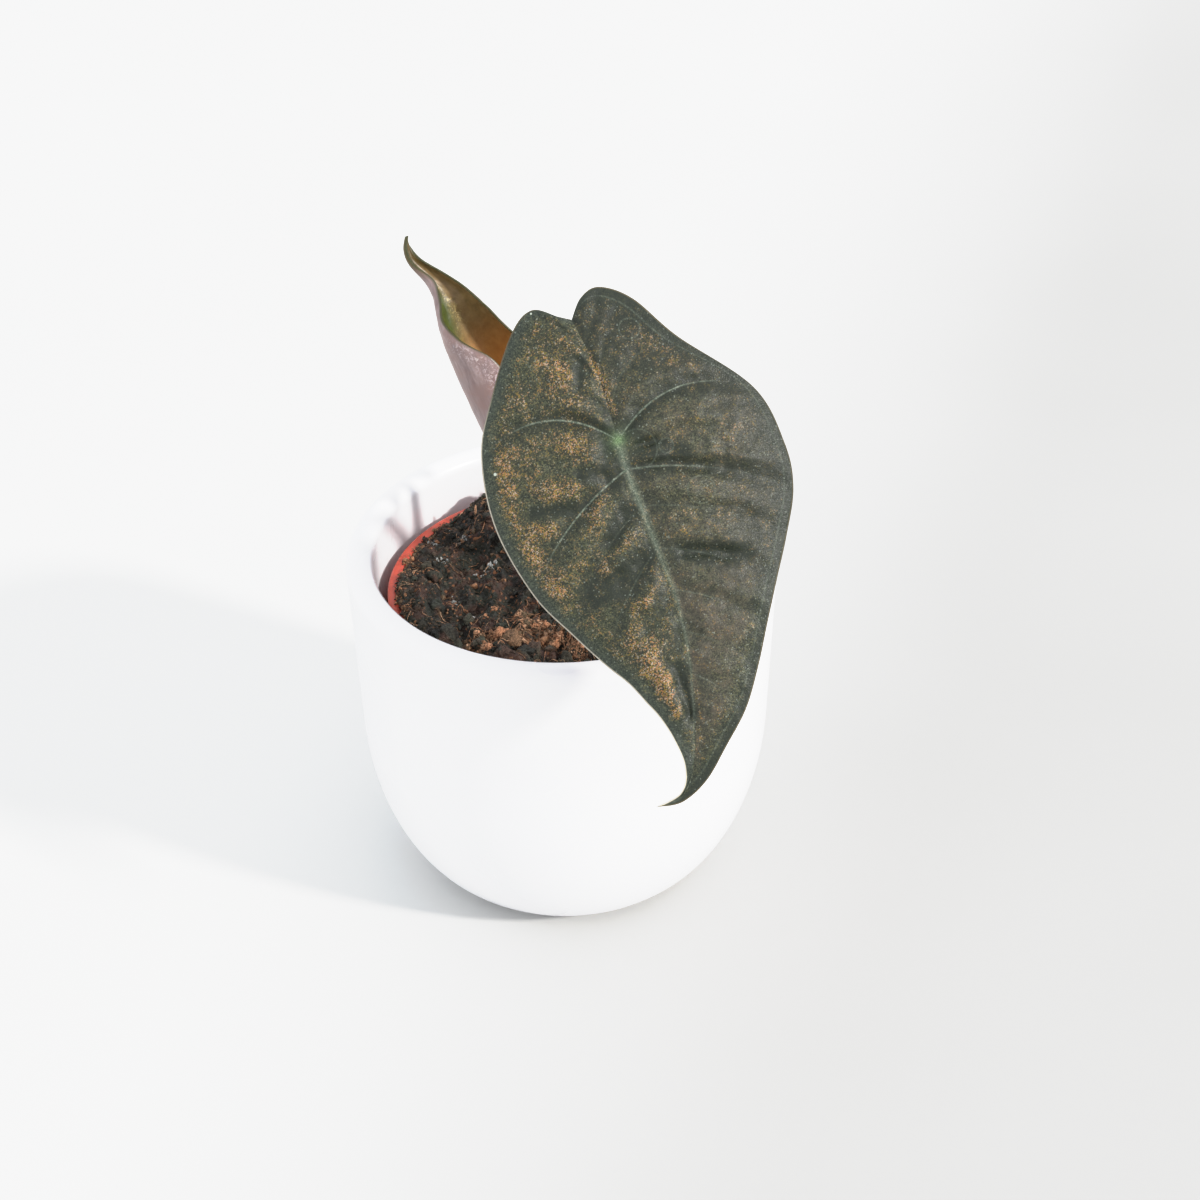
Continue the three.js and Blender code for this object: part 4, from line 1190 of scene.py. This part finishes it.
def thinned(thickness, margin, reach, start):
    """A blade's thickness, which thins to that of its margin."""
    return thickness - (thickness - margin) * smooth(reach, start, 1)


OPEN_NORMAL = np.array([0, -math.sin(OPEN_SLOPE), math.cos(OPEN_SLOPE)])
LEVEL = np.array([1, 0, 0])
OPEN_ACROSS = math.cos(OPEN_TURN) * LEVEL + math.sin(OPEN_TURN) * np.cross(OPEN_NORMAL, LEVEL)
OPEN_UP = np.cross(OPEN_NORMAL, OPEN_ACROSS)


def open_flat(place, side):
    """Where a point of the open leaf lies when the leaf is flat, and the half width there."""
    axis = along(OPEN_AXIS, place)
    margin = np.where(side[..., None] > 0, along(OPEN_RIGHT, place), along(OPEN_LEFT, place))
    reach = np.abs(side)[..., None]
    span = margin - axis
    length = np.maximum(np.linalg.norm(span, axis=-1, keepdims=True), 1e-6)
    bow = along(OPEN_BOW, place)[..., None] * 4 * reach * (1 - reach) * np.sign(side)[..., None] / length
    point = axis + span * reach + np.stack([-span[..., 1], span[..., 0]], axis=-1) * bow
    return point[..., 0], point[..., 1], length[..., 0]


def vein_line(place, strengths):
    """The strength of the nearest vein, and how many places away it is."""
    vein = np.clip(np.round(place).astype(int), 0, len(strengths) - 1)
    return np.array(strengths, float)[vein], np.abs(place - vein)


def swell(x, y):
    """How far the swellings and hollows lift a place of the flat leaf."""
    total = np.zeros_like(x)
    for (x0, y0), (x1, y1), width, height in OPEN_SWELLS:
        span_x, span_y = x1 - x0, y1 - y0
        near = np.clip(((x - x0) * span_x + (y - y0) * span_y) / (span_x ** 2 + span_y ** 2), 0, 1)
        total += height * bell(np.hypot(x - x0 - span_x * near, y - y0 - span_y * near), width)
    return total


def open_point(place, side, face):
    """A point of the open leaf's blade."""
    x, y, half = open_flat(place, side)
    reach = np.abs(side)
    across = half * reach
    fullness = np.minimum(1, half / FULL_HALF_WIDTH)
    fold = FOLD_HEIGHT * (1 - np.exp(-across / FOLD_WIDTH))
    droop = np.where(side > 0, DROOP_RIGHT, DROOP_LEFT) * across ** 2
    arch = np.where(y < 0, ARCH_TO_TIP, ARCH_TO_LOBES) * y ** 2
    wave = MARGIN_WAVE * fullness * np.sin(2 * place + np.sign(side)) * reach ** 4
    strength, away = vein_line(place, OPEN_VEINS)
    sunk = strength * bell(away, VEIN_WIDTH)
    fade = np.minimum(1, reach / QUILT_FADE_IN) * (1 - reach ** 5)
    flat = points_at(x, y)
    warp = 0.35 * noise(flat, 5, 31)
    quilt_height = np.where(side > 0, along(QUILT_RIGHT, place), along(QUILT_LEFT, place))
    wrinkles = 0.22 * np.sin(2 * math.pi * (2 * place + warp)) * (1 - sunk)
    calm = np.where((side > 0) & (place < 4.5), 0.4, 1)
    quilt = (quilt_height * (np.sin(math.pi * place) ** 2 + wrinkles) - VEIN_DEPTH * sunk) * calm
    crinkle = 0.2 * noise(flat * (1, 1.4, 1), 3.2, 32)
    crinkle = crinkle + 0.12 * noise(flat, 1.5, 33) + 0.05 * noise(flat, 0.7, 34)
    above = fold - droop - arch + wave + (quilt * fullness + swell(x, y) + crinkle) * fade
    taper = 1 - np.abs(y) / np.where(y < 0, MIDRIB_TO_TIP, MIDRIB_TO_LOBES)
    midrib = MIDRIB_HEIGHT * taper * bell(across, MIDRIB_WIDTH)
    rib = RIB_HEIGHT * sunk * (1 - RIB_TAPER * reach) * np.minimum(1, reach / 0.05)
    above = above + 0.22 * taper * bell(across, 0.7) * smooth(y, -50, -40) * (1 - smooth(y, 1, 3))
    thickness = thinned(BLADE_THICKNESS, MARGIN_THICKNESS, reach, 0.8)
    height = above - face * (thickness + midrib + rib) - TIP_TUCK * smooth(-y, 50, 56)
    return OPEN_JOINT + x[..., None] * OPEN_ACROSS + y[..., None] * OPEN_UP + height[..., None] * OPEN_NORMAL


# Round dried water marks and white specks on the open leaf: x, y and radius
WATER_MARKS = ((10.5, -10.2, 2.1), (2.5, -2, 3), (6.9, -2.5, 1.1), (5.7, 16.2, 1.6))
WHITE_SPECKS = ((-8.3, 22, 0.2), (-19.4, -0.5, 0.3))


def open_masks(place, side, face):
    """Where the open leaf's colours lie, from 0 to 1 at each point, and its distances from its lines."""
    x, y, half = open_flat(place, side)
    reach = np.abs(side)
    across = half * reach
    from_margin = half * (1 - reach)
    ahead, behind = (np.stack(open_flat(place + step, side)[:2]) for step in (0.02, -0.02))
    spacing = np.linalg.norm(ahead - behind, axis=0) / 0.04
    right = side > 0
    flat = points_at(x, y, 40 * face)
    patchy = 0.5 + 0.5 * noise(flat, 4, 41)

    # Pale lines of the veins, and the valleys that they lie in, darkened as painted shade
    strength, away = vein_line(place, OPEN_VEINS)
    from_vein = away * spacing
    paleness = np.where(right, vein_line(place, PALE_RIGHT)[0], vein_line(place, PALE_LEFT)[0])
    fading = np.where(right & (place > 6), smooth(reach, 0.25, 0.6), smooth(reach, 0.5, 0.85))
    to_tip = smooth(-y, 0, 50)
    faint = np.where(right & ((place > 7.5) | (place < 4.5)), 0.5, 1)
    valley = strength * bell(from_vein, 1.5) * (1 - 0.4 * reach) * faint

    # Painted shade: darker in the hollows, in a band along a valley across the right half, beside the midrib,
    # and on the right side that faces the sun, to hold its light back
    swells = swell(x, y)
    raised = np.clip(swells / 0.4, 0, 1)
    hollow = np.clip(-swells / 0.28, 0, 1)
    band = 0.9 * right * bell((place - 9.1) * spacing, 1.2)
    band = band * smooth(across, 3, 6) * (1 - smooth(across, 14, 17))
    shaded = 0.7 * bell(np.hypot(x + 2, y), 4.5) + 0.4 * bell(across - 2, 1.3) * (y < 2)
    shaded = shaded + 0.8 * patch(x, y, *PAINTED_SHADE_LEFT)
    sun_side_shade = 0.9 * (1 - smooth(from_margin, 3, 15)) * smooth(y, -36, -16) + 0.15 * smooth(y, -4, 6)
    painted_shade = valley + shaded + band + hollow + right * sun_side_shade

    # Copper tint with painted sheen, on the swellings and in patches, and a painted grey sheen
    swelling = smooth(np.sin(math.pi * place) ** 2 * np.minimum(1, reach / QUILT_FADE_IN), 0.25, 0.85)
    near_margin = bell(from_margin - 3.8, 1.8) * smooth(y, -30, -12) * (1 - smooth(y, 4, 10))
    second_glow = bell(np.hypot((x - 2.2 - 0.18 * (y + 43)) / 0.6, (y + 43) / 6), 1)
    sinus = bell(x - 1.2 + 0.165 * y, 0.7) * smooth(y, 2, 5) * (1 - smooth(y, 13, 15.5))
    left_copper_sheen = 0.26 + 0.2 * swelling * patchy + 0.4 * raised + 0.42 * near_margin
    left_copper_sheen = left_copper_sheen + 0.34 * patch(x, y, *LEFT_LOBE_GLOW)
    right_copper_sheen = 0.06 + 0.12 * smooth(y, 4, 12) + 0.2 * raised + 0.1 * swelling * patchy
    right_copper_sheen = right_copper_sheen + 0.3 * patch(x, y, *RIGHT_LOBE_GLOW)
    copper_sheen = np.where(right, right_copper_sheen, left_copper_sheen) + 0.24 * patch(x, y, *TIP_GLOW)
    copper_sheen = (copper_sheen + 0.45 * second_glow + 0.75 * sinus) * smooth(from_margin, 1, 3)
    copper_sheen = copper_sheen * (1 - 0.5 * np.clip(valley + shaded, 0, 1)) * (1 - hollow)
    # Painted grey sheen: most on the right half towards the tip, little on the left
    right_grey_sheen = 0.18 + 0.25 * smooth(-y, -14, 0) + 0.6 * smooth(-y, 18, 28) + 0.1 * swelling
    grey_sheen = np.where(right, right_grey_sheen, 0.12) * smooth(from_margin, 1.5, 5)

    under = (face > 0.5).astype(float)
    return {
        "flat": flat,
        "near": points_at(np.minimum(from_vein, 3), across / (0.85 - 0.55 * to_tip), from_margin),
        "vein": paleness * (1 - 0.9 * fading),
        "midrib": (0.62 - 0.45 * to_tip) * (1 - smooth(y, 0, 2)) * (0.8 + 0.2 * patchy),
        "painted_shade": np.clip(painted_shade, 0, 1),
        "copper_sheen": np.clip(copper_sheen, 0, 1.2),
        "grey_sheen": np.clip(grey_sheen * (1 - valley) * (1 - hollow), 0, 1),
        "joint": 0.75 * bell(np.hypot(x, y), 0.8) + 0.2 * bell(np.hypot(x, y), 2.2),
        "right": smooth(side, -0.5, 0.5),
        # A pale line on the left margin: pale edge tissue, and painted highlight where the edge catches the
        # light
        "pale_edge_and_highlight": ~right * (face < 0.6) * (1 - smooth(y, 2, 14)),
        "creased": np.clip(0.2 + 0.8 * patch(x, y, *CREASED), 0, 1) * right,
        "rib": np.clip(strength * bell(from_vein, 0.6) + bell(across, 1.2), 0, 1) * under,
        "under": under,
    }


def make_open_leaf():
    shape, grid = blade_rings(len(OPEN_AXIS) - 1, OPEN_ROWS_PER_VEIN, OPEN_COLUMNS, open_point)
    add_piece(
        "blade_open_leaf_quilted", *skin(*shape), open_leaf_surface(), "leaf_open", "blade_open_leaf",
        **open_masks(*grid),
    )


def make_open_stem():
    foot = np.array([*OPEN_STEM_FOOT, CORM_TOP])
    top = OPEN_JOINT - OPEN_NORMAL * (BLADE_THICKNESS + MIDRIB_HEIGHT)
    controls = (
        foot, foot + (0, 0, OPEN_STEM_RISE), top - OPEN_NORMAL * OPEN_STEM_REACH,
        top + 0.5 * OPEN_NORMAL,
    )

    def radius_at(part):
        flare = (OPEN_STEM_FOOT_RADIUS - OPEN_STEM_TOP_RADIUS) * np.exp(-part * OPEN_STEM_FLARE)
        return OPEN_STEM_TOP_RADIUS + flare

    make_stem("stem_open_leaf_round", "stem_open_leaf", controls, radius_at)


NEW_FOOT = np.array([*NEW_STEM_FOOT, CORM_TOP])
NEW_LENGTH = float(np.linalg.norm(NEW_TIP - NEW_FOOT))
NEW_LINE = unit(NEW_TIP - NEW_FOOT)
TOWARD_VIEW = np.array([0, -math.cos(VIEW_SLOPE), math.sin(VIEW_SLOPE)])
OPEN_FRONT = unit(TOWARD_VIEW - NEW_LINE * np.dot(TOWARD_VIEW, NEW_LINE))
OPEN_SIDE = np.cross(NEW_LINE, OPEN_FRONT)


def new_point(place, side, face):
    """A point of the new leaf's blade, rolled about its line."""
    down, offset, radius, turn, far, near, sweep = np.moveaxis(along(NEW_ROWS, place), -1, 0)
    reach = np.abs(side)
    angle = np.where(side > 0, far, near) * reach / radius
    turn = np.radians(turn)[..., None]
    opening = OPEN_SIDE * np.cos(turn) + OPEN_FRONT * np.sin(turn)
    sideways = OPEN_FRONT * np.cos(turn) - OPEN_SIDE * np.sin(turn)
    climb = NEW_LENGTH - down - sweep * reach ** 1.5
    taper = np.minimum(1, (len(NEW_ROWS) - 1 - place) / ((len(NEW_ROWS) - 1) * NEW_KEEL_TAPER))
    keel = NEW_KEEL_HEIGHT * taper * bell(side, NEW_KEEL_WIDTH)
    thickness = thinned(NEW_BLADE_THICKNESS, NEW_MARGIN_THICKNESS, reach, 0.75)
    flat = points_at(side * 12, place * 4)
    ripple = (0.1 * noise(flat, 2.5, 51) + 0.05 * noise(flat, 1.1, 52)) * smooth(radius, 1, 4)
    lift = ripple + thickness / 2 - face * (thickness + keel)
    roll = radius - lift
    return (
        NEW_FOOT + NEW_LINE * climb[..., None] + OPEN_SIDE * offset[..., None]
        + opening * (radius - roll * np.cos(angle))[..., None]
        - sideways * (np.sign(side) * roll * np.sin(angle))[..., None]
    )


def make_new_leaf():
    shape, grid = blade_rings(len(NEW_ROWS) - 1, NEW_ROWS_PER_STEP, NEW_COLUMNS, new_point, start=1)
    place, side, face = grid
    down, _, _, _, far, near, _ = np.moveaxis(along(NEW_ROWS, place), -1, 0)
    half = np.where(side > 0, far, near)
    from_margin = half * (1 - np.abs(side))
    # Where the painted glints lie: along the near margin outside, and in a patch inside
    outside = (side < 0) * bell(from_margin - 1.8, 1.5) * smooth(down, 16, 20)
    inside = bell(side - 0.15, 0.12) * bell(down - 14, 5)
    add_piece(
        "blade_new_leaf_rolled", *skin(*shape), new_leaf_surface(), "leaf_new", "blade_new_leaf",
        flat=points_at(side * half, -down, 40 * face),
        warm=smooth(down, 16, 27),
        green=(1 - smooth(side, -0.1, 0.32)) * (1 - smooth(down, 20, 30)),
        tip=1 - smooth(down, 3, 9),
        edge=np.clip(1 - from_margin / 0.45, 0, 1),
        crumpled=np.where(face > 0.5, outside, inside),
        under=(face > 0.5).astype(float),
    )


def make_new_stem():
    length = NEW_LENGTH - NEW_ROWS[0][0]
    top = on_axis(new_point, 0.0)
    controls = (
        NEW_FOOT, NEW_FOOT + (0, 0, length * NEW_STEM_RISE), top - NEW_LINE * length * NEW_STEM_REACH,
        top + 0.3 * NEW_LINE,
    )

    def radius_at(part):
        return NEW_STEM_FOOT_RADIUS + (NEW_STEM_TOP_RADIUS - NEW_STEM_FOOT_RADIUS) * part

    make_stem("stem_new_leaf_round", "stem_new_leaf", controls, radius_at)


# Camera, floor and light

def make_camera():
    camera = add_object("camera", bpy.data.cameras.new("camera"))
    camera.data.lens = CAMERA_LENS
    camera.data.sensor_width = CAMERA_SENSOR
    camera.data.clip_start = 0.01
    tilt = Matrix.Rotation(math.radians(90 - CAMERA_DOWN), 4, "X")
    roll = Matrix.Rotation(math.radians(CAMERA_ROLL), 4, "Z")
    camera.matrix_world = Matrix.Translation(Vector(CAMERA_PLACE) * MM) @ tilt @ roll
    scene.camera = camera


def make_floor():
    corners = [(x * FLOOR_REACH, y * FLOOR_REACH, 0) for x, y in ((-1, -1), (1, -1), (1, 1), (-1, 1))]
    mesh = new_mesh("floor", corners, [(0, 1, 2, 3)])
    mesh.materials.append(floor_surface().material)
    add_object("floor", mesh)


def make_light():
    """The sun, the sky, and how their light becomes the picture's."""
    sun = add_object("sun", bpy.data.lights.new("sun", "SUN"))
    sun.data.energy = SUN_STRENGTH
    sun.data.angle = math.radians(SUN_SPREAD)
    sun.data.color = SUN_COLOUR
    azimuth, elevation = math.radians(SUN_AZIMUTH), math.radians(SUN_ELEVATION)
    toward_sun = Vector((
        math.cos(azimuth) * math.cos(elevation), math.sin(azimuth) * math.cos(elevation), math.sin(elevation),
    ))
    sun.rotation_euler = toward_sun.to_track_quat("Z", "Y").to_euler()

    world = bpy.data.worlds.new("sky")
    world.use_nodes = True
    background = world.node_tree.nodes["Background"]
    background.inputs["Color"].default_value = (*SKY_COLOUR, 1)
    background.inputs["Strength"].default_value = SKY_STRENGTH
    scene.world = world

    view = scene.view_settings
    view.view_transform = "Standard"
    view.use_curve_mapping = True
    view.curve_mapping.white_level = (WHITE_LIGHT,) * 3
    for light, shown in TONE_CURVE:
        view.curve_mapping.curves[3].points.new(light / WHITE_LIGHT, shown)
    view.curve_mapping.update()


make_camera()
make_floor()
make_light()
make_cover_pot()
make_nursery_pot()
make_soil()
loose_soil = crumb_surface()
for seed, size_name in enumerate(CRUMB_SIZES):
    make_crumbs(size_name, loose_soil, seed)
make_fibres(loose_soil)
make_corm()
make_open_stem()
make_new_stem()
make_open_leaf()
make_new_leaf()
